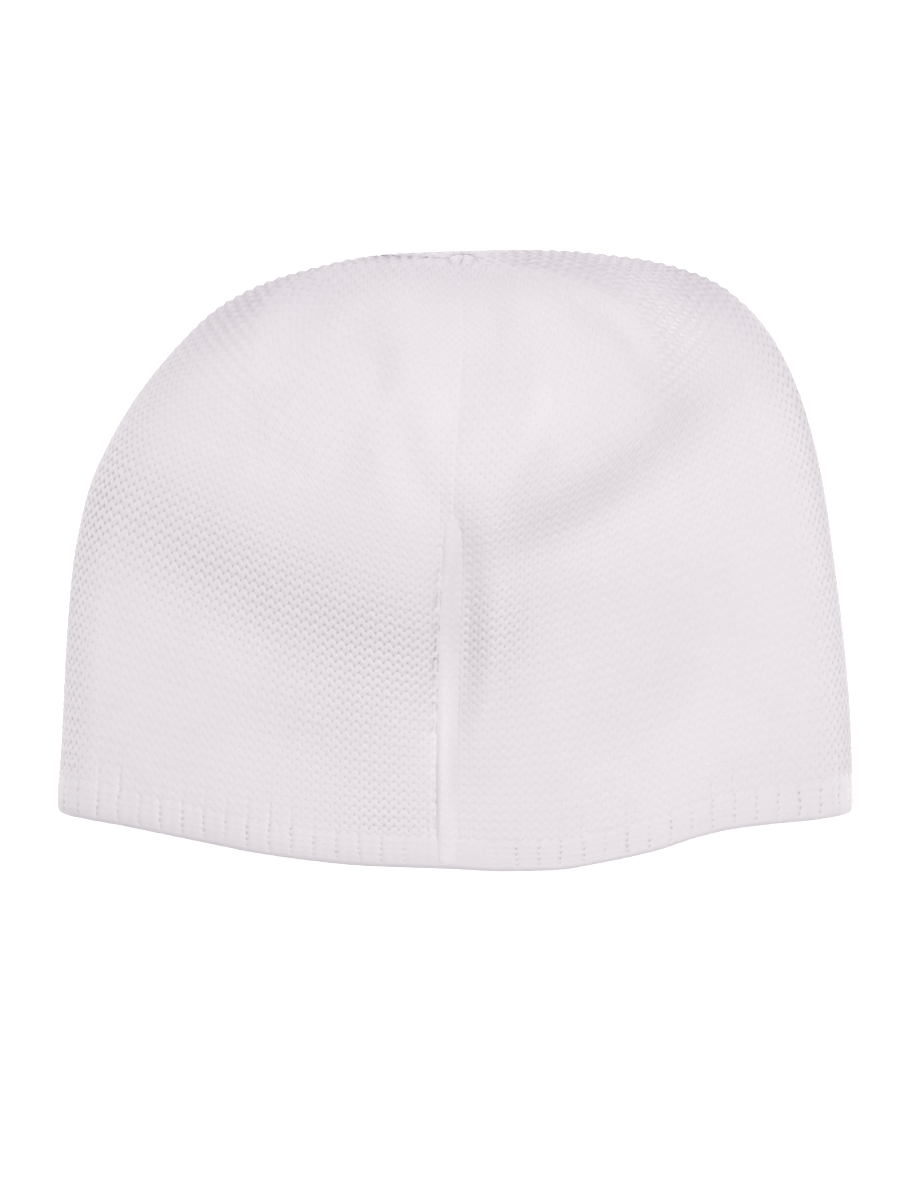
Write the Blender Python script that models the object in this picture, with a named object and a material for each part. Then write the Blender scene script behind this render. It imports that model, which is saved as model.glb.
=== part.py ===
"""Knitted newborn hat lying on its front, back seam up: closed faceted solids in metres, +Z up.

A point of the fabric has two numbers: the angle round the hat (0 on the back seam, 90 on the right
side fold, 180 on the middle of the front) and the row share (0 at the hem, 1 at the crown closure).
"""

import bpy
import numpy as np

MM = 0.001

# Overall sizes of the hat as it lies
HAT_WIDTH = 165.0 * MM
HAT_LENGTH = 128.7 * MM
WALL = 2.0 * MM
GAP = 0.3 * MM

# Side fold above the floor, and how far the underside curls up towards it
FOLD_HEIGHT = 7.5 * MM
UNDER_CURL = 10.0 * MM

# Upper layer: the rounded edge along the outline, and the dome that rises inside it
EDGE_CURL = 7.0 * MM
EDGE_RISE = 8.5 * MM
BACK_RISE = 17.0 * MM
CROWN_DOME = 46.0 * MM

# Knitting from hem to closure up the middle of the back, longer than the hat by its doming
MIDDLE_LENGTH = 1.026 * HAT_LENGTH

# The closure lies this far over the crown edge on the upper layer, measured along the fabric
CLOSURE_SET = 6.4 * MM
CLOSURE_FADE = 40.0 * MM

# Rows where the body shape hands over to the round crown shape, and how much wider than deep a
# crown row lies
CROWN_FROM = 0.60
CROWN_FULL = 0.86
CROWN_SPREAD = 1.2

# Ribbed hem
RIB_SHARE = 0.056
RIB_COUNT = 76
RIB_DEPTH = 0.8 * MM
RIB_SHOULDER = 0.12
HEM_ROLL = 0.35 * MM
RIB_BLUR = 9.0 * MM
HEM_TURN = 0.3

# Columns of one rib from groove to groove, as shares of the rib depth
RIB_PROFILE = (1.0, RIB_SHOULDER, 0.0, RIB_SHOULDER)

# Cross-section of the hem, from its upper edge down the outside and up the inside. up: share of its
# height; cut: share of the groove; through: share of the wall; roll: share of the roll
RIB_SECTION = (
    (1.00, 0.25, 0.0, 0.0),
    (0.80, 1.00, 0.0, 0.0),
    (0.30, 1.00, 0.0, 0.0),
    (0.12, 0.35, 0.0, 1.0),
    (0.00, 0.10, 0.4, 0.5),
    (0.02, 0.00, 0.9, 0.0),
    (1.00, 0.00, 1.0, 0.0),
)

# Linked seam up the middle of the back
SEAM_HALF = 2.1 * MM
SEAM_HALF_TOP = 0.7 * MM
SEAM_HEIGHT = 0.95 * MM
SEAM_BED = 0.5 * MM
SEAM_SIDE = 0.35 * MM
SEAM_END = 0.975
SEAM_NARROW = 0.60
SEAM_LOW_FROM = 0.50
SEAM_LOW_FULL = 0.66
SEAM_LOW_SHARE = 0.50
SEAM_START = 0.001
SEAM_STOP = 0.004
SEAM_WIDEST = 0.9

# Cross-section of the seam. beside: share of its half width; high: share of its height; bed: share of
# the way down to the bottom of its bed
SEAM_SECTION_COLUMNS = ("beside", "high", "bed")
SEAM_SECTION = (
    (-1.00, 0.00, 1.0),
    (0.00, 0.00, 1.0),
    (1.00, 0.00, 1.0),
    (0.92, 0.45, 0.0),
    (0.55, 0.90, 0.0),
    (0.05, 1.00, 0.0),
    (-0.85, 0.50, 0.0),
)

# Stitch that draws the crown together
CLOSURE_RADIUS = 2.3 * MM
CLOSURE_HEIGHT = 0.7 * MM
CLOSURE_BED = 0.6 * MM
CLOSURE_LIP = 1.6 * MM
CLOSURE_DIP = 0.7
CLOSURE_LOBES = 4
CLOSURE_LOBE = 0.14
CLOSURE_COLUMNS = 24

# Cross-section of the closure. reach: share of its radius; high: share of its height; bed: share of
# the way down to the bottom of its bed
CLOSURE_SECTION = (
    (0.45, 0.00, 1.0),
    (0.86, 0.00, 1.0),
    (1.00, 0.35, 1.0),
    (0.85, 0.75, 0.0),
    (0.45, 1.00, 0.0),
)

# Decrease lines of the crown, each an angle round the closure
DART_ANGLES = (60.0, 120.0, 240.0, 280.0)
DART_DEPTH = 0.55 * MM
DART_HALF = 2.0 * MM
DART_FROM = 0.66
DART_FULL = 0.90
DART_START = 2.0 * MM
DART_CLEAR = 8.0 * MM

# Columns and rows of the shell mesh
BACK_COLUMNS = 42
FRONT_COLUMNS = 16
SHELL_ROWS = 23
SHELL_LAST = 10.0 * MM

# Columns crowd towards the side folds, where the knitting turns over
BACK_CROWD = 0.28
FRONT_CROWD = 0.16

# Rows round the closure, as shares of its radius
POLE_RINGS = (2.7, 1.8, 1.18, 0.6)

# Fineness of the sampled curves, and the small steps that slopes are measured over
PROFILE_STEPS = 1500
LENGTH_STEPS = 1440
FOLD_SAMPLES = 24
SMALL_ANGLE = 0.02
SMALL_SHARE = 0.0004
SMALL_WAY = 0.01

# Makes the drop of a fold the full height between its two sides
DROP_PEAK = 1.166

# Outline seen from above, from the left hem corner over the crown to the right hem corner.
# way: share of the way along each side; x and y: shares of the width and of the length
OUTLINE_COLUMNS = ("way", "x", "y")
OUTLINE = (
    (-1.00, -0.495, -0.415),
    (-0.985, -0.500, -0.395),
    (-0.90, -0.495, -0.285),
    (-0.80, -0.49, -0.15),
    (-0.70, -0.482, -0.02),
    (-0.60, -0.463, 0.105),
    (-0.50, -0.42, 0.225),
    (-0.40, -0.36, 0.33),
    (-0.30, -0.287, 0.418),
    (-0.20, -0.195, 0.467),
    (-0.10, -0.095, 0.492),
    (0.00, 0.008, 0.498),
    (0.10, 0.112, 0.500),
    (0.20, 0.215, 0.49),
    (0.30, 0.315, 0.457),
    (0.40, 0.393, 0.37),
    (0.50, 0.438, 0.25),
    (0.60, 0.463, 0.12),
    (0.70, 0.478, -0.015),
    (0.80, 0.49, -0.145),
    (0.90, 0.498, -0.28),
    (0.985, 0.500, -0.395),
    (1.00, 0.495, -0.415),
)

# Rows of the middle of the back and of the front, and how each row bows between the side folds.
# row: share from the hem; seam_x, back_y, front_y: shares of width and length; rise: share of
# BACK_RISE; bow and round: powers of the row's shape
MIDDLE_COLUMNS = ("row", "seam_x", "back_y", "front_y", "rise", "bow", "round")
MIDDLE = (
    (0.00, -0.008, -0.495, -0.405, 0.86, 1.9, 1.0),
    (0.10, -0.009, -0.397, -0.313, 0.92, 1.8, 1.0),
    (0.20, -0.009, -0.30, -0.22, 0.96, 1.6, 1.0),
    (0.30, -0.008, -0.20, -0.13, 0.99, 1.45, 1.0),
    (0.40, -0.006, -0.104, -0.038, 1.00, 1.35, 1.0),
    (0.50, -0.003, -0.006, 0.054, 1.00, 1.45, 0.9),
    (0.60, -0.002, 0.092, 0.146, 0.99, 1.7, 0.75),
    (0.70, -0.001, 0.187, 0.235, 0.88, 1.9, 0.6),
    (0.80, 0.003, 0.285, 0.325, 0.60, 2.0, 0.5),
    (0.90, 0.006, 0.39, 0.41, 0.25, 2.0, 0.5),
    (1.00, 0.008, 0.49, 0.48, 0.00, 2.0, 0.5),
)

# Lower edge of the back as seen from above. across: share of the half width; dip: share of the
# drop from the hem corners to the middle
HEM_COLUMNS = ("across", "dip")
HEM = (
    (-1.00, 0.00),
    (-0.87, 0.15),
    (-0.75, 0.33),
    (-0.62, 0.53),
    (-0.50, 0.71),
    (-0.37, 0.85),
    (-0.24, 0.95),
    (-0.12, 0.99),
    (0.00, 1.02),
    (0.14, 1.07),
    (0.26, 1.05),
    (0.39, 0.89),
    (0.52, 0.66),
    (0.61, 0.43),
    (0.70, 0.26),
    (0.80, 0.16),
    (0.90, 0.09),
    (1.00, 0.00),
)
HEM_FADE = 0.30

# Folds of the upper layer. x0 to y2: start, middle and end as shares of width and length; half: half
# width as a share of the hat's width; height and drop: shares of BACK_RISE, the drop being how far the
# left-hand side of the line stands above its right-hand side
FOLD_COLUMNS = ("fold", "x0", "y0", "x1", "y1", "x2", "y2", "half", "height", "drop")
FOLDS = (
    ("long left crease", -0.51, 0.06, -0.26, -0.08, 0.00, -0.17, 0.115, -0.14, 0.20),
    ("long right crease", -0.01, -0.06, 0.24, 0.19, 0.36, 0.44, 0.120, 0.10, 0.37),
    ("step right of the seam", 0.02, 0.07, 0.04, -0.11, 0.00, -0.33, 0.040, -0.04, 0.28),
    ("swell right of the seam", -0.07, -0.22, 0.05, -0.06, 0.20, 0.02, 0.170, 0.15, 0.39),
    ("left crown slope", -0.24, 0.30, -0.15, 0.43, -0.02, 0.49, 0.040, -0.14, -0.22),
    ("left crown ridge", -0.07, 0.44, -0.06, 0.26, -0.11, 0.14, 0.030, 0.11, -0.02),
    ("left crown dimple", -0.08, 0.33, -0.11, 0.29, -0.09, 0.24, 0.025, -0.10, -0.02),
    ("fine crown ridge", 0.07, 0.44, 0.07, 0.35, 0.05, 0.26, 0.020, 0.03, 0.02),
    ("middle crown fold", 0.08, 0.41, 0.13, 0.26, 0.05, 0.12, 0.030, 0.12, 0.06),
    ("middle crown bulge", 0.11, 0.39, 0.16, 0.30, 0.17, 0.18, 0.045, 0.00, 0.06),
    ("right crown pleat", 0.14, 0.43, 0.23, 0.40, 0.25, 0.29, 0.020, 0.00, -0.07),
    ("outer crown pleat", 0.19, 0.47, 0.27, 0.36, 0.28, 0.24, 0.040, 0.24, -0.02),
    ("right shoulder step", 0.25, 0.46, 0.33, 0.39, 0.39, 0.20, 0.040, -0.26, -0.08),
    ("right body hollow", 0.29, -0.01, 0.35, -0.20, 0.19, -0.37, 0.075, -0.21, -0.03),
    ("left body wave", -0.23, -0.20, -0.18, -0.26, -0.09, -0.34, 0.085, -0.07, 0.07),
    ("left body swell", -0.42, -0.08, -0.28, -0.20, -0.03, -0.27, 0.060, 0.06, 0.00),
    ("left side step", -0.46, 0.17, -0.39, 0.05, -0.28, 0.02, 0.085, -0.09, 0.06),
    ("right side hollow", 0.30, 0.31, 0.37, 0.12, 0.38, -0.06, 0.105, -0.19, -0.02),
    ("crown dip by the seam", 0.00, 0.34, -0.02, 0.26, -0.03, 0.17, 0.035, 0.00, -0.14),
    ("swell above the crease", 0.20, 0.24, 0.08, 0.18, 0.02, 0.02, 0.050, 0.06, -0.08),
    ("lip of the right crease", 0.03, 0.01, 0.18, 0.09, 0.28, 0.21, 0.045, -0.03, 0.13),
    ("pull towards the seam", -0.08, 0.22, -0.06, 0.13, -0.04, 0.07, 0.030, -0.05, -0.04),
)

# Height over which the folds fade in above the side folds, share of a fold at its tips, and the ring
# round the closure that stays free of folds
FOLD_CLEAR = 7.0 * MM
FOLD_ENDS = 0.12
FOLD_CROWN_START = 3.0 * MM
FOLD_CROWN_CLEAR = 16.0 * MM

COLOURS = {
    "knit_shell": (0.86, 0.81, 0.84, 1.0),
    "rib_hem": (0.87, 0.82, 0.85, 1.0),
    "back_seam": (0.88, 0.83, 0.86, 1.0),
    "crown_closure": (0.84, 0.79, 0.82, 1.0),
}
ROUGHNESS = 0.9


def column(rows, names, name):
    return np.array([row[names.index(name)] for row in rows])


def smooth_slopes(x, y):
    """Slopes of a curve through the points that never overshoots them."""
    step = np.diff(x)
    rise = np.diff(y) / step
    slope = np.zeros_like(y)
    same_way = rise[:-1] * rise[1:] > 0
    before = 2 * step[1:] + step[:-1]
    after = step[1:] + 2 * step[:-1]
    safe = np.where(same_way, rise[:-1] * rise[1:], 1.0)
    mean = (before + after) * safe / np.where(same_way, before * rise[1:] + after * rise[:-1], 1.0)
    slope[1:-1] = np.where(same_way, mean, 0.0)
    slope[0] = rise[0]
    slope[-1] = rise[-1]
    return slope


def table_curve(rows, names, key, name):
    """Smooth curve through one column of a table, as a function of the key column."""
    x = column(rows, names, key)
    y = column(rows, names, name)
    slope = smooth_slopes(x, y)

    def curve(at):
        at = np.clip(at, x[0], x[-1])
        i = np.clip(np.searchsorted(x, at, side="right") - 1, 0, len(x) - 2)
        width = x[i + 1] - x[i]
        s = (at - x[i]) / width
        return (
            (2 * s**3 - 3 * s**2 + 1) * y[i]
            + (s**3 - 2 * s**2 + s) * width * slope[i]
            + (3 * s**2 - 2 * s**3) * y[i + 1]
            + (s**3 - s**2) * width * slope[i + 1]
        )

    return curve


def ease(value, low, high):
    s = np.clip((value - low) / (high - low), 0.0, 1.0)
    return s * s * (3 - 2 * s)


outline_x = table_curve(OUTLINE, OUTLINE_COLUMNS, "way", "x")
outline_y = table_curve(OUTLINE, OUTLINE_COLUMNS, "way", "y")
seam_x = table_curve(MIDDLE, MIDDLE_COLUMNS, "row", "seam_x")
back_y = table_curve(MIDDLE, MIDDLE_COLUMNS, "row", "back_y")
front_y = table_curve(MIDDLE, MIDDLE_COLUMNS, "row", "front_y")
rise_share = table_curve(MIDDLE, MIDDLE_COLUMNS, "row", "rise")
bow_power = table_curve(MIDDLE, MIDDLE_COLUMNS, "row", "bow")
round_power = table_curve(MIDDLE, MIDDLE_COLUMNS, "row", "round")
hem_dip = table_curve(HEM, HEM_COLUMNS, "across", "dip")


def rounded(inward, curl):
    """Height share of a rounded edge at a distance inward from the outline."""
    left = 1 - np.clip(inward / curl, 0.0, 1.0)
    return np.sqrt(np.maximum(1 - left**2, 0.0))


def edge_profile():
    """Inward distance and height across the crown edge, against the length along the fabric."""
    reach = np.linspace(0.0, 1.0, PROFILE_STEPS) ** 2 * HAT_LENGTH
    dome = ease(reach, 0.0, CROWN_DOME)
    above = FOLD_HEIGHT + EDGE_RISE * rounded(reach, EDGE_CURL) + BACK_RISE * dome
    below = FOLD_HEIGHT * (1 - rounded(reach, UNDER_CURL))
    along_above = np.concatenate([[0.0], np.cumsum(np.hypot(np.diff(reach), np.diff(above)))])
    along_below = np.concatenate([[0.0], np.cumsum(np.hypot(np.diff(reach), np.diff(below)))])
    along = np.concatenate([-along_below[:0:-1], along_above])
    return along, np.concatenate([reach[:0:-1], reach]), np.concatenate([below[:0:-1], above])


PROFILE = edge_profile()


def body_point(angle, row):
    """Surface point of the lying body: each row is a bowed loop between the two side folds."""
    across = np.sin(angle)
    turn = np.cos(angle)
    side = np.where(across < 0, -1.0, 1.0)
    way = side * (1 - row)
    size = np.abs(across)
    edge_x = outline_x(way) * HAT_WIDTH
    edge_y = outline_y(way) * HAT_LENGTH
    mid_x = seam_x(row) * HAT_WIDTH
    bowed = np.maximum(1 - size ** bow_power(row), 0.0) ** round_power(row)
    mid_y = np.where(turn > 0, back_y(row), front_y(row)) * HAT_LENGTH
    x = mid_x + (edge_x - mid_x) * size
    y = edge_y + (mid_y - edge_y) * bowed
    shaped = edge_y + (mid_y - edge_y) * hem_dip(across)
    hem_part = (1 - ease(row, 0.0, HEM_FADE)) * (turn > 0)
    y = y + (shaped - y) * hem_part
    inward = np.abs(edge_x - mid_x) * (1 - size)
    dome = BACK_RISE * rise_share(row) * turn**2
    upper_z = FOLD_HEIGHT + EDGE_RISE * rounded(inward, EDGE_CURL) + dome
    under_z = FOLD_HEIGHT * (1 - rounded(inward, UNDER_CURL))
    z = np.where(turn > 0, upper_z, under_z)
    return np.stack([x, y, z], axis=-1)


def crown_point(angle, row):
    """Surface point of the crown: rows are rings round the closure, laid over the crown edge."""
    left = 1 - row
    way = left * np.sin(angle)
    ring = left * MIDDLE_LENGTH
    along = CLOSURE_SET * (1 - ease(ring, 0.0, CLOSURE_FADE)) + ring * np.cos(angle)
    dx = (outline_x(way + SMALL_WAY) - outline_x(way - SMALL_WAY)) * HAT_WIDTH
    dy = (outline_y(way + SMALL_WAY) - outline_y(way - SMALL_WAY)) * HAT_LENGTH
    size = np.hypot(dx, dy)
    inward = np.interp(along, PROFILE[0], PROFILE[1])
    z = np.interp(along, PROFILE[0], PROFILE[2])
    x = outline_x(way) * HAT_WIDTH + inward * dy / size
    y = outline_y(way) * HAT_LENGTH - inward * dx / size
    return np.stack([x, y, z], axis=-1)


def fold_line(steps, start, middle, end, size):
    """Places along a curve through three shares of a size, and its direction there."""
    place = (1 - steps) ** 2 * start + 2 * steps * (1 - steps) * middle + steps**2 * end
    run = 2 * ((1 - steps) * (middle - start) + steps * (end - middle))
    return place * size, run * size


def fold_lift(x, y):
    """Height added to the upper layer by its folds: soft humps set close along each curve."""
    total = np.zeros_like(x)
    steps = (np.arange(FOLD_SAMPLES) + 0.5) / FOLD_SAMPLES
    for row in FOLDS:
        fold = dict(zip(FOLD_COLUMNS, row))
        reach = fold["half"] * HAT_WIDTH
        line_x, run_x = fold_line(steps, fold["x0"], fold["x1"], fold["x2"], HAT_WIDTH)
        line_y, run_y = fold_line(steps, fold["y0"], fold["y1"], fold["y2"], HAT_LENGTH)
        run = np.hypot(run_x, run_y)
        weight = run / FOLD_SAMPLES / (reach * np.sqrt(np.pi))
        weight = weight * np.sin(np.pi * (FOLD_ENDS + (1 - 2 * FOLD_ENDS) * steps))
        for k in range(FOLD_SAMPLES):
            from_x = x - line_x[k]
            from_y = y - line_y[k]
            hump = np.exp(-(from_x**2 + from_y**2) / reach**2)
            beside = (from_y * run_x[k] - from_x * run_y[k]) / run[k] / reach
            shape = fold["height"] + DROP_PEAK * fold["drop"] * beside
            total += BACK_RISE * weight[k] * shape * hump
    return total


def dart_lift(angle, row):
    """Shallow groove along each of the four decrease lines, deepest near the closure."""
    total = np.zeros_like(angle)
    arm = (1 - row) * MIDDLE_LENGTH
    for dart in DART_ANGLES:
        turn = (angle - np.radians(dart) + np.pi) % (2 * np.pi) - np.pi
        beside = np.abs(turn) * arm
        total -= DART_DEPTH * np.exp(-((beside / DART_HALF) ** 2))
    return total * ease(row, DART_FROM, DART_FULL) * ease(arm, DART_START, DART_CLEAR)


def fabric(angle, row):
    """Smooth outer surface of the lying hat with its folds."""
    angle, row = np.broadcast_arrays(np.asarray(angle, float), np.asarray(row, float))
    share = ease(row, CROWN_FROM, CROWN_FULL)[..., None]
    point = body_point(angle, row) * (1 - share) + crown_point(angle, row) * share
    above = ease(point[..., 2], FOLD_HEIGHT, FOLD_HEIGHT + FOLD_CLEAR)
    off_crown = ease((1 - row) * MIDDLE_LENGTH, FOLD_CROWN_START, FOLD_CROWN_CLEAR)
    lift = fold_lift(point[..., 0], point[..., 1]) * above * off_crown
    point = point.copy()
    point[..., 2] += lift
    return point


def outward(angle, row):
    """Unit normal of the fabric."""
    angle, row = np.broadcast_arrays(np.asarray(angle, float), np.asarray(row, float))
    low = np.clip(row - SMALL_SHARE, 0.0, 1.0)
    high = np.clip(row + SMALL_SHARE, 0.0, 1.0 - SMALL_SHARE)
    round_it = fabric(angle + SMALL_ANGLE, row) - fabric(angle - SMALL_ANGLE, row)
    up_it = fabric(angle, high) - fabric(angle, low)
    normal = np.cross(round_it, up_it)
    return normal / np.linalg.norm(normal, axis=-1, keepdims=True)


def layer(angle, row, depth):
    """Fabric surface moved inward by a depth along its normal."""
    return fabric(angle, row) - outward(angle, row) * np.asarray(depth)[..., None]


def arm_length(row):
    """Half width of a row, used to turn a distance beside the seam into an angle."""
    half_width = 0.5 * HAT_WIDTH * np.ones_like(row)
    crown_arm = (1 - row) * MIDDLE_LENGTH * CROWN_SPREAD
    return np.minimum(half_width, np.maximum(crown_arm, WALL))


def seam_half(row):
    return SEAM_HALF + (SEAM_HALF_TOP - SEAM_HALF) * ease(row, SEAM_NARROW, SEAM_END)


def seam_angle(beside, row):
    return np.arcsin(np.clip(beside / arm_length(row), -SEAM_WIDEST, SEAM_WIDEST))


def shell_rows():
    body = 1 - np.linspace(1 - RIB_SHARE, SHELL_LAST / MIDDLE_LENGTH, SHELL_ROWS)
    pole = 1 - np.array(POLE_RINGS) * CLOSURE_RADIUS / MIDDLE_LENGTH
    return np.concatenate([body, pole])


def shell_grid(rows):
    """Angles of the shell's columns on every row, with a bed for the seam, and the bed's depth."""
    half_pi = 0.5 * np.pi
    count = BACK_COLUMNS // 2
    even = np.linspace(1.0, 0.0, count, endpoint=False)
    side = half_pi * ((1 - BACK_CROWD) * even + BACK_CROWD * even**2)
    right = side[::-1]
    front = np.linspace(half_pi, 3 * half_pi, FRONT_COLUMNS + 2)[1:-1]
    front = front + FRONT_CROWD * np.sin(2 * front)
    for dart in np.radians(DART_ANGLES[1:3]):
        front[np.argmin(np.abs(front - dart))] = dart
    angles = []
    depths = []
    for row in rows:
        half = seam_half(row)
        bed = seam_angle(half, row)
        lip = seam_angle(half + SEAM_SIDE, row)
        rest = lip + (half_pi - lip) * right / half_pi
        ring = np.concatenate([[0.0, bed, lip], rest, front, 2 * np.pi - rest[::-1], [-lip, -bed]])
        sunk = SEAM_BED * (row < SEAM_END)
        depth = np.zeros(len(ring))
        depth[[0, 1, -1]] = sunk
        angles.append(ring)
        depths.append(depth)
    return np.array(angles), np.array(depths)


def closure_axis():
    """Point where the decrease lines meet, and the direction that it faces."""
    turns = np.linspace(0.0, 2 * np.pi, CLOSURE_COLUMNS, endpoint=False)
    point = fabric(turns, 1 - SMALL_SHARE).mean(axis=0)
    facing = outward(turns, 1 - 0.5 * CLOSURE_RADIUS / MIDDLE_LENGTH).mean(axis=0)
    return point, facing / np.linalg.norm(facing)


def closed_tube(rings):
    """Points of a stack of closed rings, and the faces that join each ring to the next."""
    count = len(rings[0])
    points = [tuple(p) for ring in rings for p in ring]
    faces = []
    for i in range(len(rings) - 1):
        for j in range(count):
            k = (j + 1) % count
            a = i * count + j
            b = i * count + k
            c = (i + 1) * count + k
            d = (i + 1) * count + j
            faces.append((a, b, c))
            faces.append((a, c, d))
    return points, faces


def solid(name, points, faces):
    """Mesh object from points and triangles, faces turned outward, with its own material."""
    mesh = bpy.data.meshes.new(name)
    mesh.from_pydata([tuple(float(v) for v in p) for p in points], [], faces)
    mesh.validate()
    corners = np.array(points)[np.array(faces)]
    volume = np.einsum("ij,ij->i", corners[:, 0], np.cross(corners[:, 1], corners[:, 2])).sum()
    if volume < 0:
        mesh.flip_normals()
    mesh.update()
    material = bpy.data.materials.new(name)
    material.use_nodes = True
    shader = material.node_tree.nodes["Principled BSDF"]
    shader.inputs["Base Color"].default_value = COLOURS[name]
    shader.inputs["Roughness"].default_value = ROUGHNESS
    material.diffuse_color = COLOURS[name]
    mesh.materials.append(material)
    obj = bpy.data.objects.new(name, mesh)
    bpy.context.scene.collection.objects.link(obj)
    return obj


def build_shell():
    rows = shell_rows()
    angles, bed = shell_grid(rows)
    row_grid = np.repeat(rows[:, None], angles.shape[1], axis=1)
    bed_edge = CLOSURE_RADIUS + GAP
    arm = (1 - row_grid) * MIDDLE_LENGTH
    dimple = CLOSURE_BED * (1 - ease(arm, bed_edge, bed_edge + CLOSURE_LIP))
    lift = dart_lift(angles, row_grid)
    outer = layer(angles, row_grid, np.maximum(bed, dimple) - lift)
    inner = layer(angles, row_grid, np.full_like(angles, WALL) + dimple)
    pole, facing = closure_axis()
    rings = [*inner[::-1], *outer]
    points, faces = closed_tube(rings)
    count = angles.shape[1]
    outer_pole = len(points)
    inner_pole = outer_pole + 1
    points.append(tuple(pole - facing * CLOSURE_BED))
    points.append(tuple(pole - facing * (CLOSURE_BED + WALL)))
    last = (len(rings) - 1) * count
    for j in range(count):
        k = (j + 1) % count
        faces.append((last + j, last + k, outer_pole))
        faces.append((k, j, inner_pole))
    return solid("knit_shell", points, faces)


def even_angles(row, total):
    """Angles that share the length of one row evenly."""
    fine = np.linspace(0.0, 2 * np.pi, LENGTH_STEPS + 1)
    path = fabric(fine, np.full_like(fine, row))
    length = np.concatenate([[0.0], np.cumsum(np.linalg.norm(np.diff(path, axis=0), axis=1))])
    return np.interp(np.arange(total) / total * length[-1], length, fine)


def build_rib():
    angles = even_angles(RIB_SHARE / 2, RIB_COUNT * len(RIB_PROFILE))
    groove = np.tile(RIB_PROFILE, RIB_COUNT)
    span = np.minimum(angles, 2 * np.pi - angles)
    beside = np.sin(np.minimum(span, 0.5 * np.pi)) * 0.5 * HAT_WIDTH
    groove = groove * (1 - np.exp(-((beside / RIB_BLUR) ** 4)))
    on_back = ease(np.cos(angles), 0.0, HEM_TURN)
    pitch = 2 * HAT_WIDTH / len(angles)
    under_seam = (beside < SEAM_HALF + pitch) & (on_back > 0)
    bed = np.where(under_seam, SEAM_BED, 0.0)
    on_back = np.where(under_seam, 0.0, on_back)
    top = RIB_SHARE - GAP / MIDDLE_LENGTH
    rings = []
    for up, cut, through, roll in RIB_SECTION:
        sunk = through * WALL + (1 - through) * bed
        depth = sunk + cut * RIB_DEPTH * groove - roll * HEM_ROLL * on_back
        rings.append(layer(angles, np.full_like(angles, up * top), depth))
    points, faces = closed_tube(rings)
    count = len(angles)
    last = (len(rings) - 1) * count
    for j in range(count):
        k = (j + 1) % count
        faces.append((last + j, last + k, k))
        faces.append((last + j, k, j))
    return solid("rib_hem", points, faces)


def build_seam():
    rows = np.concatenate([np.linspace(SEAM_START, RIB_SHARE, 3), shell_rows()[1:]])
    rows = rows[rows < SEAM_END - SEAM_STOP]
    rings = []
    for row in rows:
        half = seam_half(row) - 0.5 * GAP
        floor = GAP - SEAM_BED
        tall = SEAM_HEIGHT * (1.0 - SEAM_LOW_SHARE * ease(row, SEAM_LOW_FROM, SEAM_LOW_FULL))
        beside = column(SEAM_SECTION, SEAM_SECTION_COLUMNS, "beside") * half
        high = column(SEAM_SECTION, SEAM_SECTION_COLUMNS, "high")
        bed = column(SEAM_SECTION, SEAM_SECTION_COLUMNS, "bed")
        height = high * tall + bed * floor
        at = np.full(len(SEAM_SECTION), row)
        rings.append(layer(seam_angle(beside, row), at, -height))
    points, faces = closed_tube(rings)
    count = len(rings[0])
    last = (len(rings) - 1) * count
    for j in range(1, count - 1):
        faces.append((0, j + 1, j))
        faces.append((last, last + j, last + j + 1))
    return solid("back_seam", points, faces)


def build_closure():
    turns = np.linspace(0.0, 2 * np.pi, CLOSURE_COLUMNS, endpoint=False)
    petal = 1 - CLOSURE_LOBE + CLOSURE_LOBE * np.cos(CLOSURE_LOBES * (turns - np.pi / CLOSURE_LOBES))
    floor = GAP - CLOSURE_BED
    rings = []
    for reach, high, bed in CLOSURE_SECTION:
        row = 1 - reach * petal * CLOSURE_RADIUS / MIDDLE_LENGTH
        height = high * CLOSURE_HEIGHT + bed * floor
        rings.append(layer(turns, row, np.full_like(turns, -height)))
    points, faces = closed_tube(rings)
    count = len(turns)
    pole, facing = closure_axis()
    low = len(points)
    points.append(tuple(pole + facing * floor))
    points.append(tuple(pole + facing * CLOSURE_DIP * CLOSURE_HEIGHT))
    last = (len(rings) - 1) * count
    for j in range(count):
        k = (j + 1) % count
        faces.append((k, j, low))
        faces.append((last + j, last + k, low + 1))
    return solid("crown_closure", points, faces)


def main():
    for obj in list(bpy.data.objects):
        bpy.data.objects.remove(obj, do_unlink=True)
    build_shell()
    build_rib()
    build_seam()
    build_closure()


main()
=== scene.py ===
import bpy
import numpy as np
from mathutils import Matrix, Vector


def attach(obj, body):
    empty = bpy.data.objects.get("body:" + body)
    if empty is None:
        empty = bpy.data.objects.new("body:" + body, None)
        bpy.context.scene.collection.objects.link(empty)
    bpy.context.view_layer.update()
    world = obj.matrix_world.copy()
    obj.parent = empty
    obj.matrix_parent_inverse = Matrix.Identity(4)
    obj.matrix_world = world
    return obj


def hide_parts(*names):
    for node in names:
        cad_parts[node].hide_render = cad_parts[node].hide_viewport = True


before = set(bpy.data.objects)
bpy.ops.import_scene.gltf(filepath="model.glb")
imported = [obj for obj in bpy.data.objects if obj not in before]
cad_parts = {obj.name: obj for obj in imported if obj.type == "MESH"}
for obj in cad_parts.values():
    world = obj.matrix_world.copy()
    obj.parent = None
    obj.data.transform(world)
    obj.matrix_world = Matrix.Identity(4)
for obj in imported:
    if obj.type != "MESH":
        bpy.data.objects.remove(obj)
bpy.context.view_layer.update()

MM = 0.001

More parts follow.
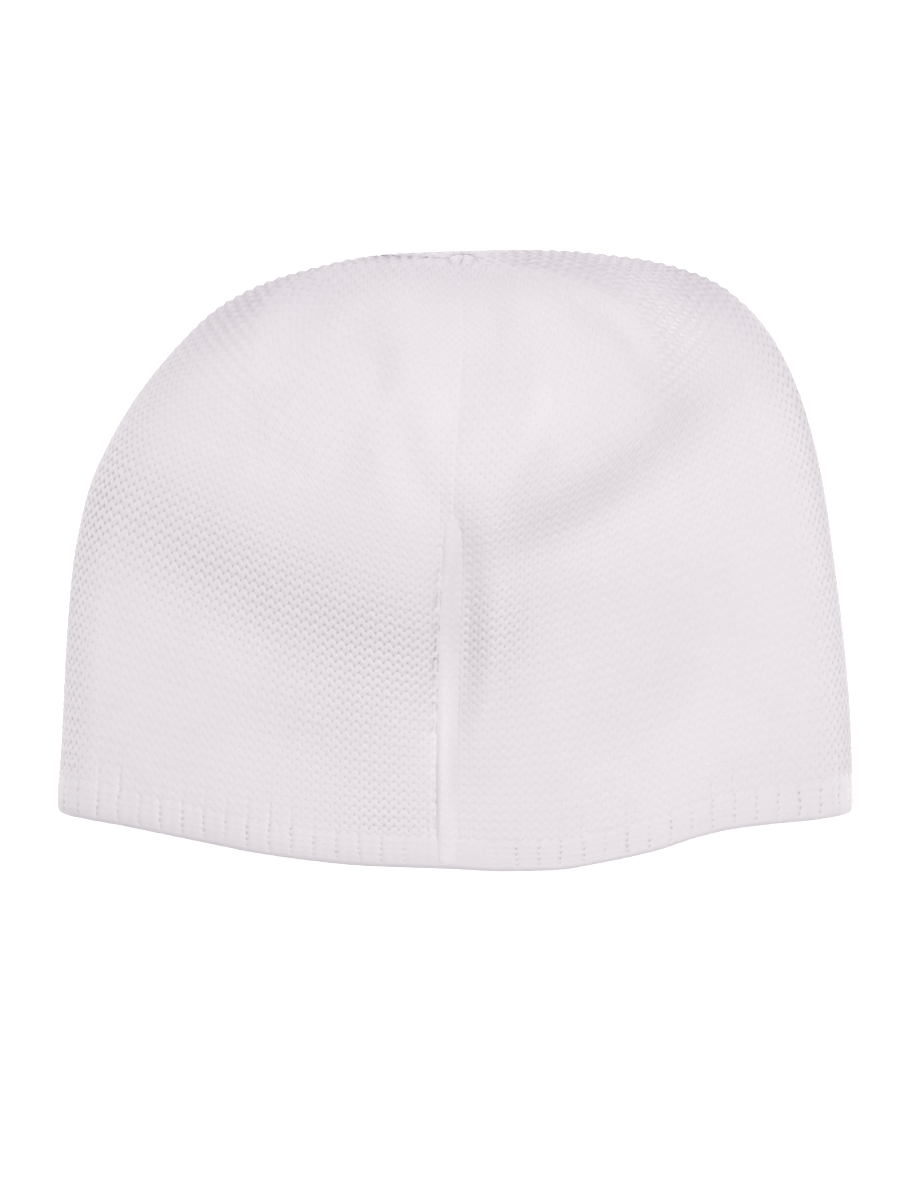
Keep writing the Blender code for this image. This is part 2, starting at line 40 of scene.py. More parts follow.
# Sizes shared with the CAD model of the hat
HAT_WIDTH = 165.0 * MM
HAT_LENGTH = 128.7 * MM
WALL = 2.0 * MM
FOLD_HEIGHT = 7.5 * MM
UNDER_CURL = 10.0 * MM
EDGE_CURL = 7.0 * MM
EDGE_RISE = 8.5 * MM
BACK_RISE = 17.0 * MM
CROWN_DOME = 46.0 * MM
MIDDLE_LENGTH = 1.026 * HAT_LENGTH
CLOSURE_SET = 6.4 * MM
CLOSURE_FADE = 40.0 * MM
CROWN_FROM = 0.60
CROWN_FULL = 0.86
RIB_SHARE = 0.056
RIB_COUNT = 76
RIB_COURSES = 6
RIB_BLUR = 9.0 * MM
HEM_ROLL = 0.35 * MM
SEAM_HALF = 2.1 * MM
SEAM_HALF_TOP = 0.7 * MM
SEAM_END = 0.975
SEAM_NARROW = 0.60
CLOSURE_RADIUS = 2.3 * MM
CLOSURE_BED = 0.6 * MM
HEM_FADE = 0.30
DROP_PEAK = 1.166
FOLD_SAMPLES = 24
FOLD_CLEAR = 7.0 * MM
FOLD_ENDS = 0.12
FOLD_CROWN_START = 3.0 * MM
FOLD_CROWN_CLEAR = 16.0 * MM
PROFILE_STEPS = 1500
SMALL_WAY = 0.01
TINY = 1e-12

# In the values below a pair is a span: something starts at its first value and is full at its second.
# Rows are shares of the way from hem to closure, and spans across and up are shares of width and length

# Knitting: courses from hem to closure, wales in each half of a gore, width of a wale in the crown
COURSES = 70
HALF_GORE_WALES = 22
CROWN_WALE = 1.72 * MM

# Relief of the stitches and of the painted shade between them, how far they stand out at the least and near
# the outline, and its bounds
STITCH_RELIEF = 0.46 * MM
RIB_RELIEF = 0.50 * MM
SEAM_RELIEF = 0.34 * MM
STITCH_LEAST = 0.44
STITCH_BOUNDS = (0.15, 1.0)
RIM_MORE = 0.45
RIM_REACH = 5.0 * MM

# Grids of the guides: steps in courses, first and last of them, wales laid and kept beside a gore
GUIDE_STEP = 0.5
GORE_FROM = 2.0
GORE_CLEAR = 0.55
GORE_SPARE = 4.5
GORE_KEPT = 4.1
GORE_LAP = 1.3
FIRST_COURSE = 3
FINE_DEGREES = (-100.0, 370.1, 0.5)
RING_STEPS = 1441
OUTLINE_STEPS = 161
ARANGE_END = 0.01
ANGLE_NUDGE = 0.02
ROW_NUDGE = 0.004

# Joint of two gores: rows where it turns into a dart, and how the lapped stitches sink beside it
DART_TURN = (0.56, 0.80)
DART_NARROW = (0.0, 1.5)
DART_CLEAR = 0.1
DART_LAP = 3.0
DART_SINK = 0.28 * MM
DART_TUCK = 0.45 * MM
DART_TUCKED = (0.5, 1.2)

# Lowest stitches of the body, which dive behind the ribbing: depth, and courses below its top
DIVE = 0.4 * MM
DIVE_SPAN = (0.2, 1.3)

# Strokes that run on from the grooves of the ribbing into the plain knitting, in courses
RIB_SEED = 11
RIB_STEPS = 4
STROKE_HALF = 0.35 * MM
STROKE_LONG = 1.2
STROKE_FADE = 1.0
STROKE_DEPTH = 0.40 * MM

# Courses of the side gores stand apart where the crown is gathered, with painted shade in the gaps near the
# outline
GATHER_DEPTH = 0.45 * MM
GATHER_PAINTED_SHADE = 0.45
GATHER_PAINTED_SHADE_REACH = 4.5 * MM
GATHER_START = (0.60, 0.72)
GATHER_END = (0.93, 0.98)
GATHER_CLEAR = (0.2, 1.6)
BETWEEN_AT = 0.5
BETWEEN_HALF = 0.1

# Dark line of stretched stitches beside the seam
GROOVE_BESIDE = 2.9 * MM
GROOVE_HALF = 0.50 * MM
GROOVE_DEPTH = 1.00 * MM
GROOVE_WAVER = 0.4 * MM
GROOVE_POWER = 1.5
GROOVE_SEED = 5
GROOVE_COLUMNS = ("row", "share")
GROOVE = (
    (0.02, 0.0),
    (0.07, 0.6),
    (0.14, 0.8),
    (0.21, 0.5),
    (0.28, 1.0),
    (0.41, 1.0),
    (0.45, 0.5),
    (0.57, 0.35),
    (0.62, 0.0),
)

# Ribbing: courses turned in, lap at the seam in radians, how unevenly its grooves stand out and take painted
# shade
RIB_INNER = 7.5
RIB_FIRST_COURSE = -7
RIB_OVER = 0.4
RIB_ROLL_STEPS = 9
RIB_OUTER_STEPS = 10
RIB_LAP = 0.006
RIB_LEAST = 0.25
RIB_BLUR_POWER = 4
RIB_CHANCE = (0.55, 1.0)
RIB_CHANCE_ROWS = 32
RIB_CHANCE_SHIFT = 9.5
RIB_TUCK = 0.25 * MM
RIB_TUCK_LONG = 1.2

# Hem: its rolled lip, its soft edge and the painted shade along the edge, which is deeper on the left
HEM_ROLL_AT = 0.5
HEM_ROLL_REACH = 0.7
HEM_BACK = (0.0, 0.3)
HEM_SHORTER = 0.32 * MM
HEM_SHORTER_SPAN = (0.0, 3.0)
HEM_SOFT_AT = 0.1
HEM_SOFT_SPAN = (0.3, 1.5)
HEM_SOFT_LEAST = 0.15
HEM_PAINTED_SHADE = 0.30
HEM_PAINTED_SHADE_LEAST = 0.15
HEM_PAINTED_SHADE_AT = 0.3
HEM_PAINTED_SHADE_REACH = 1.9
HEM_PAINTED_SHADE_ACROSS = (-0.10, 0.15)
HEM_PAINTED_SHADE_ROUND = -0.2

# Bead of the seam: its grid, its ridge, where it fades and sinks, and the bed under it
SEAM_ACROSS_STEPS = 17
SEAM_WIDE = 1.25
SEAM_ARM = 1.2
SEAM_TURN_MOST = 0.9
SEAM_RIDGE = 0.62 * MM
SEAM_FAINT = 0.25
SEAM_FADE = (0.50, 0.62)
SEAM_LOW = 0.5
SEAM_LOW_ROWS = (0.03, 0.085)
SEAM_RISE = (-1.0, -0.60)
SEAM_FALL = (-0.55, 1.0)
SEAM_TUCK = 0.30 * MM
SEAM_TUCK_LEFT = (0.7, 1.0)
SEAM_TUCK_RIGHT = (0.4, 1.0)
SEAM_START = (0.0, 0.7)
SEAM_SINK = 0.75 * MM
SEAM_STRENGTH = 0.35
SEAM_BED = 0.45 * MM
SEAM_BED_SPAN = (0.60 * SEAM_HALF, 1.05 * SEAM_HALF)
SEAM_LINE = 0.14 * MM
SEAM_LINE_HALF = 0.5 * MM

# Bead of the seam: where painted light makes its yarn paler, and the painted shade on its right side
SEAM_PAINTED_LIGHT_ACROSS = (0.45, 0.90)
SEAM_PAINTED_LIGHT_ROWS = (0.36, 0.50)
SEAM_PAINTED_SHADE = 0.28
SEAM_PAINTED_SHADE_ACROSS = (-0.4, 0.5)
SEAM_PAINTED_SHADE_START = (0.08, 0.18)
SEAM_PAINTED_SHADE_END = (0.38, 0.46)

# Painted shade towards the top of the outline, less on the right
PAINTED_RIM_SHADE = 0.56
PAINTED_RIM_SHADE_REACH = 8.5 * MM
PAINTED_RIM_SHADE_UP = (0.06, 0.42)
PAINTED_RIM_SHADE_LESS = 0.45
PAINTED_RIM_SHADE_LESS_ACROSS = (0.28, 0.45)

# Painted shade on the middle of the crown, along the right edge and along the top edge
PAINTED_CROWN_SHADE = 0.16
PAINTED_CROWN_SHADE_UP = (0.14, 0.36)
PAINTED_EDGE_SHADE = 0.50
PAINTED_EDGE_SHADE_REACH = 2.2 * MM
PAINTED_EDGE_SHADE_ACROSS = (0.39, 0.46)
PAINTED_TOP_SHADE = 0.35
PAINTED_TOP_SHADE_REACH = 1.1 * MM
PAINTED_TOP_SHADE_UP = (0.40, 0.47)
PAINTED_TOP_SHADE_ACROSS = (-0.16, -0.06)

# Inside of the wall: share of the wall's thickness, steps round it, first and last rows
INSIDE_DEEP = 0.96
INSIDE_RING = 176
INSIDE_ROW = 0.040
INSIDE_FROM = 4.0
INSIDE_CLEAR = 1.4
INSIDE_NUDGE = 0.003
INSIDE_LAST = 0.999

# Closure: rings as shares of its radius, its dome and pleats, and the slit that leans to the right and takes
# painted shade
CLOSURE_BED_SPAN = (0.5 * CLOSURE_RADIUS, 0.95 * CLOSURE_RADIUS)
KNOT_TURNS = 48
KNOT_SHARES = (1.25, 1.1, 0.95, 0.8, 0.66, 0.52, 0.38, 0.26, 0.14, 0.05)
KNOT_FACING_RING = 3
KNOT_DOME = 0.36 * MM
KNOT_SINK = 0.35 * MM
KNOT_PLEATS = 8
KNOT_PLEAT = 0.03 * MM
KNOT_PLEAT_REACH = 1.2
KNOT_KNIT = (1.5, 2.0, 0.8)
SLIT_DEPTH = 0.45 * MM
SLIT_HALF = 0.28 * MM
SLIT_REACH = 1.9 * MM
SLIT_LEAN = (0.9, 0.42)
SLIT_PAINTED_SHADE = 0.9

# Laying of the stitches: map on the guide, joining distance, noises, sway and unevenness
UV_STEP = 0.01
UV_SHIFT = np.array([0.5, 0.1])
JOIN_WITHIN = 0.01
SWAY_NOISE = 290.0
PUFF_NOISE = 680.0
PUFF_SHIFT = 7.0
SWAY = 0.12
UNEVEN = 0.35
VECTOR = ("FLOAT_VECTOR", "vector")
HEIGHT_MOST = 1.0

# Colours of the yarn: its own colour, painted shade between the stitches, a paler colour that is painted
# light on the seam's bead, and painted shade
YARN_COLOUR = (0.80, 0.755, 0.79, 1.0)
YARN_PAINTED_PIT_SHADE = (0.46, 0.40, 0.45, 1.0)
SEAM_PAINTED_LIGHT = (0.825, 0.78, 0.815, 1.0)
YARN_PAINTED_SHADE = (0.60, 0.555, 0.60, 1.0)

# Look of the yarn and of its purl side. The pit values and the first weight of each shade tuple set the
# painted shade between the stitches.
MOTTLE_SCALE = 95.0
MOTTLE_ROUGH = 0.55
FIBRE_SCALE = 3200.0
FIBRE_ROUGH = 0.6
NOISE_DETAIL = 3.0
PLAIN_PIT = 0.75
RIB_PIT = 0.6
PLY_ACROSS = 18.0
PLY_UP = 11.0
YARN_SHADE = (0.95, 0.10, 0.25)
YARN_ROUGH = 0.86
YARN_ROUGH_FIBRE = 0.12
FUZZ = 0.35
FUZZ_FIBRE = 0.7
FUZZ_DISTANCE = 0.12 * MM
PURL_NOISE_ROUGH = 0.5
PURL_SWING = 0.25
PURL_HEIGHT = 0.75
PURL_GAP = 0.35
PURL_SHADE = (0.8, 0.35, 0.2, 0.1)
PURL_ROUGH = 0.9
PURL_BUMP = 0.9
PURL_BUMP_FIBRE = 0.15
PURL_DISTANCE = 0.5 * MM
COTTON = {"Sheen Weight": 0.25, "Sheen Roughness": 0.6, "Specular IOR Level": 0.25}

# Floor, faintly luminous so that almost no shadow shows on it, sky and lamp
FLOOR_HALF = 3.0
WHITE = (1.0, 1.0, 1.0, 1.0)
FLOOR_LOOK = {
    "Base Color": (0.95, 0.95, 0.95, 1.0),
    "Roughness": 0.8,
    "Specular IOR Level": 0.1,
    "Emission Color": WHITE,
    "Emission Strength": 0.75,
}
SKY_SIDE = 0.15
SKY_TOP = 0.80
SKY_POWER = 1.5
KEY_PLACE = (0.20, 0.60, 1.79)
KEY_SIZE = 0.9
KEY_POWER = 20.5

# Camera straight above, far away with a long lens: centre and height of the photograph's field
FIELD_CENTRE = (-1.1 * MM, -8.45 * MM)
FIELD_HEIGHT = 248.6 * MM
FIELD_LEVEL = 10.0 * MM
CAMERA_AWAY = 3.0
SENSOR_HEIGHT = 24.0
CLIP_END = 20.0

# The four gores of the crown: name, middle and the darts on both sides, in degrees
GORES = (
    ("back", 0.0, -80.0, 60.0),
    ("right", 90.0, 60.0, 120.0),
    ("front", 180.0, 120.0, 240.0),
    ("left", 270.0, 240.0, 280.0),
)

# Where the stitches stand out more, with deeper painted shade between them, or less where the share is
# negative: middle, reach and share
PATCH_COLUMNS = ("x", "y", "reach", "more")
PATCHES = (
    (-0.42, 0.09, 0.070, 0.34),
    (-0.33, 0.01, 0.070, 0.34),
    (-0.24, -0.05, 0.070, 0.34),
    (-0.14, -0.10, 0.075, 0.34),
    (-0.06, -0.15, 0.060, 0.26),
    (-0.12, -0.26, 0.100, 0.26),
    (-0.09, -0.43, 0.055, 0.36),
    (0.04, -0.12, 0.055, 0.34),
    (0.05, 0.07, 0.080, 0.12),
    (0.36, -0.10, 0.130, -0.14),
    (-0.35, -0.28, 0.100, -0.06),
)

# Outline from above: share of the way from hem over crown to hem, x and y
OUTLINE_COLUMNS = ("way", "x", "y")
OUTLINE = (
    (-1.00, -0.495, -0.415),
    (-0.985, -0.500, -0.395),
    (-0.90, -0.495, -0.285),
    (-0.80, -0.49, -0.15),
    (-0.70, -0.482, -0.02),
    (-0.60, -0.463, 0.105),
    (-0.50, -0.42, 0.225),
    (-0.40, -0.36, 0.33),
    (-0.30, -0.287, 0.418),
    (-0.20, -0.195, 0.467),
    (-0.10, -0.095, 0.492),
    (0.00, 0.008, 0.498),
    (0.10, 0.112, 0.500),
    (0.20, 0.215, 0.49),
    (0.30, 0.315, 0.457),
    (0.40, 0.393, 0.37),
    (0.50, 0.438, 0.25),
    (0.60, 0.463, 0.12),
    (0.70, 0.478, -0.015),
    (0.80, 0.49, -0.145),
    (0.90, 0.498, -0.28),
    (0.985, 0.500, -0.395),
    (1.00, 0.495, -0.415),
)

MIDDLE_COLUMNS = ("row", "seam_x", "back_y", "front_y", "rise", "bow", "round")
MIDDLE = (
    (0.00, -0.008, -0.495, -0.405, 0.86, 1.9, 1.0),
    (0.10, -0.009, -0.397, -0.313, 0.92, 1.8, 1.0),
    (0.20, -0.009, -0.30, -0.22, 0.96, 1.6, 1.0),
    (0.30, -0.008, -0.20, -0.13, 0.99, 1.45, 1.0),
    (0.40, -0.006, -0.104, -0.038, 1.00, 1.35, 1.0),
    (0.50, -0.003, -0.006, 0.054, 1.00, 1.45, 0.9),
    (0.60, -0.002, 0.092, 0.146, 0.99, 1.7, 0.75),
    (0.70, -0.001, 0.187, 0.235, 0.88, 1.9, 0.6),
    (0.80, 0.003, 0.285, 0.325, 0.60, 2.0, 0.5),
    (0.90, 0.006, 0.39, 0.41, 0.25, 2.0, 0.5),
    (1.00, 0.008, 0.49, 0.48, 0.00, 2.0, 0.5),
)

HEM_COLUMNS = ("across", "dip")
HEM = (
    (-1.00, 0.00),
    (-0.87, 0.15),
    (-0.75, 0.33),
    (-0.62, 0.53),
    (-0.50, 0.71),
    (-0.37, 0.85),
    (-0.24, 0.95),
    (-0.12, 0.99),
    (0.00, 1.02),
    (0.14, 1.07),
    (0.26, 1.05),
    (0.39, 0.89),
    (0.52, 0.66),
    (0.61, 0.43),
    (0.70, 0.26),
    (0.80, 0.16),
    (0.90, 0.09),
    (1.00, 0.00),
)

# Folds of the upper layer: start, middle and end of each, its half width, height and drop
FOLD_COLUMNS = ("fold", "x0", "y0", "x1", "y1", "x2", "y2", "half", "height", "drop")
FOLDS = (
    ("long left crease", -0.51, 0.06, -0.26, -0.08, 0.00, -0.17, 0.115, -0.14, 0.20),
    ("long right crease", -0.01, -0.06, 0.24, 0.19, 0.36, 0.44, 0.120, 0.10, 0.37),
    ("step right of the seam", 0.02, 0.07, 0.04, -0.11, 0.00, -0.33, 0.040, -0.04, 0.28),
    ("swell right of the seam", -0.07, -0.22, 0.05, -0.06, 0.20, 0.02, 0.170, 0.15, 0.39),
    ("left crown slope", -0.24, 0.30, -0.15, 0.43, -0.02, 0.49, 0.040, -0.14, -0.22),
    ("left crown ridge", -0.07, 0.44, -0.06, 0.26, -0.11, 0.14, 0.030, 0.11, -0.02),
    ("left crown dimple", -0.08, 0.33, -0.11, 0.29, -0.09, 0.24, 0.025, -0.10, -0.02),
    ("fine crown ridge", 0.07, 0.44, 0.07, 0.35, 0.05, 0.26, 0.020, 0.03, 0.02),
    ("middle crown fold", 0.08, 0.41, 0.13, 0.26, 0.05, 0.12, 0.030, 0.12, 0.06),
    ("middle crown bulge", 0.11, 0.39, 0.16, 0.30, 0.17, 0.18, 0.045, 0.00, 0.06),
    ("right crown pleat", 0.14, 0.43, 0.23, 0.40, 0.25, 0.29, 0.020, 0.00, -0.07),
    ("outer crown pleat", 0.19, 0.47, 0.27, 0.36, 0.28, 0.24, 0.040, 0.24, -0.02),
    ("right shoulder step", 0.25, 0.46, 0.33, 0.39, 0.39, 0.20, 0.040, -0.26, -0.08),
    ("right body hollow", 0.29, -0.01, 0.35, -0.20, 0.19, -0.37, 0.075, -0.21, -0.03),
    ("left body wave", -0.23, -0.20, -0.18, -0.26, -0.09, -0.34, 0.085, -0.07, 0.07),
    ("left body swell", -0.42, -0.08, -0.28, -0.20, -0.03, -0.27, 0.060, 0.06, 0.00),
    ("left side step", -0.46, 0.17, -0.39, 0.05, -0.28, 0.02, 0.085, -0.09, 0.06),
    ("right side hollow", 0.30, 0.31, 0.37, 0.12, 0.38, -0.06, 0.105, -0.19, -0.02),
    ("crown dip by the seam", 0.00, 0.34, -0.02, 0.26, -0.03, 0.17, 0.035, 0.00, -0.14),
    ("swell above the crease", 0.20, 0.24, 0.08, 0.18, 0.02, 0.02, 0.050, 0.06, -0.08),
    ("lip of the right crease", 0.03, 0.01, 0.18, 0.09, 0.28, 0.21, 0.045, -0.03, 0.13),
    ("pull towards the seam", -0.08, 0.22, -0.06, 0.13, -0.04, 0.07, 0.030, -0.05, -0.04),
)


def column(rows, names, name):
    """One column of a table."""
    return np.array([row[names.index(name)] for row in rows])


def smooth_slopes(x, y):
    """Slopes of a curve through the points that never overshoots them."""
    step = np.diff(x)
    rise = np.diff(y) / step
    slope = np.zeros_like(y)
    same_way = rise[:-1] * rise[1:] > 0
    before = 2 * step[1:] + step[:-1]
    after = step[1:] + 2 * step[:-1]
    safe = np.where(same_way, rise[:-1] * rise[1:], 1.0)
    mean = (before + after) * safe / np.where(same_way, before * rise[1:] + after * rise[:-1], 1.0)
    slope[1:-1] = np.where(same_way, mean, 0.0)
    slope[0] = rise[0]
    slope[-1] = rise[-1]
    return slope


def table_curve(rows, names, key, name):
    """Smooth curve of one column of a table over another."""
    x = column(rows, names, key)
    y = column(rows, names, name)
    slope = smooth_slopes(x, y)

    def curve(at):
        at = np.clip(at, x[0], x[-1])
        i = np.clip(np.searchsorted(x, at, side="right") - 1, 0, len(x) - 2)
        width = x[i + 1] - x[i]
        s = (at - x[i]) / width
        return (
            (2 * s**3 - 3 * s**2 + 1) * y[i]
            + (s**3 - 2 * s**2 + s) * width * slope[i]
            + (3 * s**2 - 2 * s**3) * y[i + 1]
            + (s**3 - s**2) * width * slope[i + 1]
        )

    return curve


def ease(value, low, high):
    """Soft step from 0 at low to 1 at high."""
    s = np.clip((value - low) / (high - low), 0.0, 1.0)
    return s * s * (3 - 2 * s)


def bell(value, half):
    """Soft hump, 1 high, round zero."""
    return np.exp(-((value / half) ** 2))


outline_x = table_curve(OUTLINE, OUTLINE_COLUMNS, "way", "x")
outline_y = table_curve(OUTLINE, OUTLINE_COLUMNS, "way", "y")
seam_x = table_curve(MIDDLE, MIDDLE_COLUMNS, "row", "seam_x")
back_y = table_curve(MIDDLE, MIDDLE_COLUMNS, "row", "back_y")
front_y = table_curve(MIDDLE, MIDDLE_COLUMNS, "row", "front_y")
rise_share = table_curve(MIDDLE, MIDDLE_COLUMNS, "row", "rise")
bow_power = table_curve(MIDDLE, MIDDLE_COLUMNS, "row", "bow")
round_power = table_curve(MIDDLE, MIDDLE_COLUMNS, "row", "round")
hem_dip = table_curve(HEM, HEM_COLUMNS, "across", "dip")


def rounded(inward, curl):
    """Height of a rounded edge, as a share, at a distance inward from it."""
    left = 1 - np.clip(inward / curl, 0.0, 1.0)
    return np.sqrt(np.maximum(1 - left**2, 0.0))


def edge_profile():
    """Inward distance and height across the crown edge, against the length along the fabric."""
    reach = np.linspace(0.0, 1.0, PROFILE_STEPS) ** 2 * HAT_LENGTH
    dome = ease(reach, 0.0, CROWN_DOME)
    above = FOLD_HEIGHT + EDGE_RISE * rounded(reach, EDGE_CURL) + BACK_RISE * dome
    below = FOLD_HEIGHT * (1 - rounded(reach, UNDER_CURL))
    along_above = np.concatenate([[0.0], np.cumsum(np.hypot(np.diff(reach), np.diff(above)))])
    along_below = np.concatenate([[0.0], np.cumsum(np.hypot(np.diff(reach), np.diff(below)))])
    along = np.concatenate([-along_below[:0:-1], along_above])
    return along, np.concatenate([reach[:0:-1], reach]), np.concatenate([below[:0:-1], above])


PROFILE = edge_profile()


def body_point(angle, row):
    """Surface point of the lying body: each row is a bowed loop between the two side folds."""
    across = np.sin(angle)
    turn = np.cos(angle)
    side = np.where(across < 0, -1.0, 1.0)
    way = side * (1 - row)
    size = np.abs(across)
    edge_x = outline_x(way) * HAT_WIDTH
    edge_y = outline_y(way) * HAT_LENGTH
    mid_x = seam_x(row) * HAT_WIDTH
    bowed = np.maximum(1 - size ** bow_power(row), 0.0) ** round_power(row)
    mid_y = np.where(turn > 0, back_y(row), front_y(row)) * HAT_LENGTH
    x = mid_x + (edge_x - mid_x) * size
    y = edge_y + (mid_y - edge_y) * bowed
    shaped = edge_y + (mid_y - edge_y) * hem_dip(across)
    hem_part = (1 - ease(row, 0.0, HEM_FADE)) * (turn > 0)
    y = y + (shaped - y) * hem_part
    inward = np.abs(edge_x - mid_x) * (1 - size)
    dome = BACK_RISE * rise_share(row) * turn**2
    upper_z = FOLD_HEIGHT + EDGE_RISE * rounded(inward, EDGE_CURL) + dome
    under_z = FOLD_HEIGHT * (1 - rounded(inward, UNDER_CURL))
    z = np.where(turn > 0, upper_z, under_z)
    return np.stack([x, y, z], axis=-1)


def crown_point(angle, row):
    """Surface point of the crown: rows are rings round the closure, laid over the crown edge."""
    left = 1 - row
    way = left * np.sin(angle)
    ring = left * MIDDLE_LENGTH
    along = CLOSURE_SET * (1 - ease(ring, 0.0, CLOSURE_FADE)) + ring * np.cos(angle)
    dx = (outline_x(way + SMALL_WAY) - outline_x(way - SMALL_WAY)) * HAT_WIDTH
    dy = (outline_y(way + SMALL_WAY) - outline_y(way - SMALL_WAY)) * HAT_LENGTH
    size = np.hypot(dx, dy)
    inward = np.interp(along, PROFILE[0], PROFILE[1])
    z = np.interp(along, PROFILE[0], PROFILE[2])
    x = outline_x(way) * HAT_WIDTH + inward * dy / size
    y = outline_y(way) * HAT_LENGTH - inward * dx / size
    return np.stack([x, y, z], axis=-1)


def fold_line(steps, start, middle, end, size):
    """Places along a curve through three shares of a size, and its direction there."""
    place = (1 - steps) ** 2 * start + 2 * steps * (1 - steps) * middle + steps**2 * end
    run = 2 * ((1 - steps) * (middle - start) + steps * (end - middle))
    return place * size, run * size


def fold_lift(x, y):
    """Height added to the upper layer by its folds: soft humps set close along each curve."""
    total = np.zeros_like(x)
    steps = (np.arange(FOLD_SAMPLES) + 0.5) / FOLD_SAMPLES
    for row in FOLDS:
        fold = dict(zip(FOLD_COLUMNS, row))
        reach = fold["half"] * HAT_WIDTH
        line_x, run_x = fold_line(steps, fold["x0"], fold["x1"], fold["x2"], HAT_WIDTH)
        line_y, run_y = fold_line(steps, fold["y0"], fold["y1"], fold["y2"], HAT_LENGTH)
        run = np.hypot(run_x, run_y)
        weight = run / FOLD_SAMPLES / (reach * np.sqrt(np.pi))
        weight = weight * np.sin(np.pi * (FOLD_ENDS + (1 - 2 * FOLD_ENDS) * steps))
        for k in range(FOLD_SAMPLES):
            from_x = x - line_x[k]
            from_y = y - line_y[k]
            hump = np.exp(-(from_x**2 + from_y**2) / reach**2)
            beside = (from_y * run_x[k] - from_x * run_y[k]) / run[k] / reach
            shape = fold["height"] + DROP_PEAK * fold["drop"] * beside
            total += BACK_RISE * weight[k] * shape * hump
    return total


def fabric(angle, row):
    """Smooth outer surface of the lying hat, with its folds."""
    angle, row = np.broadcast_arrays(np.asarray(angle, float), np.asarray(row, float))
    share = ease(row, CROWN_FROM, CROWN_FULL)[..., None]
    point = body_point(angle, row) * (1 - share) + crown_point(angle, row) * share
    above = ease(point[..., 2], FOLD_HEIGHT, FOLD_HEIGHT + FOLD_CLEAR)
    off_crown = ease((1 - row) * MIDDLE_LENGTH, FOLD_CROWN_START, FOLD_CROWN_CLEAR)
    point[..., 2] += fold_lift(point[..., 0], point[..., 1]) * above * off_crown
    return point


def fabric_frame(angles, low_rows, rows, high_rows):
    """The fabric at a grid of angles and rows, its way up there and its unit normals."""
    place = fabric(angles, rows)
    up = fabric(angles, high_rows) - fabric(angles, low_rows)
    around = fabric(angles + ANGLE_NUDGE, rows) - fabric(angles - ANGLE_NUDGE, rows)
    out = np.cross(around, up)
    return place, up, out / np.linalg.norm(out, axis=-1, keepdims=True)


def grid_normals(points):
    """Unit normals of a grid whose rows run up the hat and whose columns run round it."""
    round_it = np.gradient(points, axis=1)
    up_it = np.gradient(points, axis=0)
    normal = np.cross(round_it, up_it)
    return normal / np.maximum(np.linalg.norm(normal, axis=-1, keepdims=True), TINY)


def off_outline(place):
    """Distance from the outline, seen from above."""
    way = np.linspace(-1.0, 1.0, OUTLINE_STEPS)
    best = np.full(place.shape[:2], HAT_WIDTH)
    for x, y in zip(outline_x(way) * HAT_WIDTH, outline_y(way) * HAT_LENGTH):
        best = np.minimum(best, np.hypot(place[..., 0] - x, place[..., 1] - y))
    return best


def painted_shade_by_place(place):
    """How much painted shade darkens the yarn near the outline and in the middle of the crown."""
    x = place[..., 0] / HAT_WIDTH
    y = place[..., 1] / HAT_LENGTH
    off = off_outline(place)
    rim = bell(off, PAINTED_RIM_SHADE_REACH)
    right = 1 - PAINTED_RIM_SHADE_LESS * ease(x, *PAINTED_RIM_SHADE_LESS_ACROSS)
    middle = PAINTED_CROWN_SHADE * ease(y, *PAINTED_CROWN_SHADE_UP) * (1 - rim)
    edge = PAINTED_EDGE_SHADE * ease(x, *PAINTED_EDGE_SHADE_ACROSS) * bell(off, PAINTED_EDGE_SHADE_REACH)
    top = PAINTED_TOP_SHADE * ease(y, *PAINTED_TOP_SHADE_UP) * ease(x, *PAINTED_TOP_SHADE_ACROSS) * bell(off, PAINTED_TOP_SHADE_REACH)
    return PAINTED_RIM_SHADE * rim * ease(y, *PAINTED_RIM_SHADE_UP) * right + middle + edge + top


def stitch_strength(place, angles):
    """How far the stitches stand out, and how deep the painted shade between them is, at each spot of the
    lying hat.
    """
    strength = np.full(place.shape[:2], STITCH_LEAST)
    for row in PATCHES:
        patch = dict(zip(PATCH_COLUMNS, row))
        off_x = place[..., 0] / HAT_WIDTH - patch["x"]
        off_y = place[..., 1] / HAT_WIDTH - patch["y"] * HAT_LENGTH / HAT_WIDTH
        near = np.exp(-(off_x**2 + off_y**2) / patch["reach"] ** 2)
        strength += np.where(np.cos(angles) > 0, patch["more"], 0.0) * near
    strength += RIM_MORE * bell(off_outline(place), RIM_REACH)
    return np.clip(strength, *STITCH_BOUNDS)


def linked(name, data):
    """New object in the scene."""
    obj = bpy.data.objects.new(name, data)
    bpy.context.scene.collection.objects.link(obj)
    return obj


def plain_object(name, points, faces=()):
    """Mesh object with the given points and faces."""
    mesh = bpy.data.meshes.new(name)
    mesh.from_pydata([tuple(float(c) for c in p) for p in points], [], [tuple(f) for f in faces])
    return linked(name, mesh)


def store(mesh, name, values, kind="FLOAT", field="value"):
    """Keep a value for each point of a mesh."""
    layer = mesh.attributes.new(name, kind, "POINT")
    layer.data.foreach_set(field, np.asarray(values, np.float32).ravel())


def corners(grid):
    """The four corners of every cell of a grid."""
    return np.stack([grid[:-1, :-1], grid[:-1, 1:], grid[1:, 1:], grid[1:, :-1]], axis=-1)


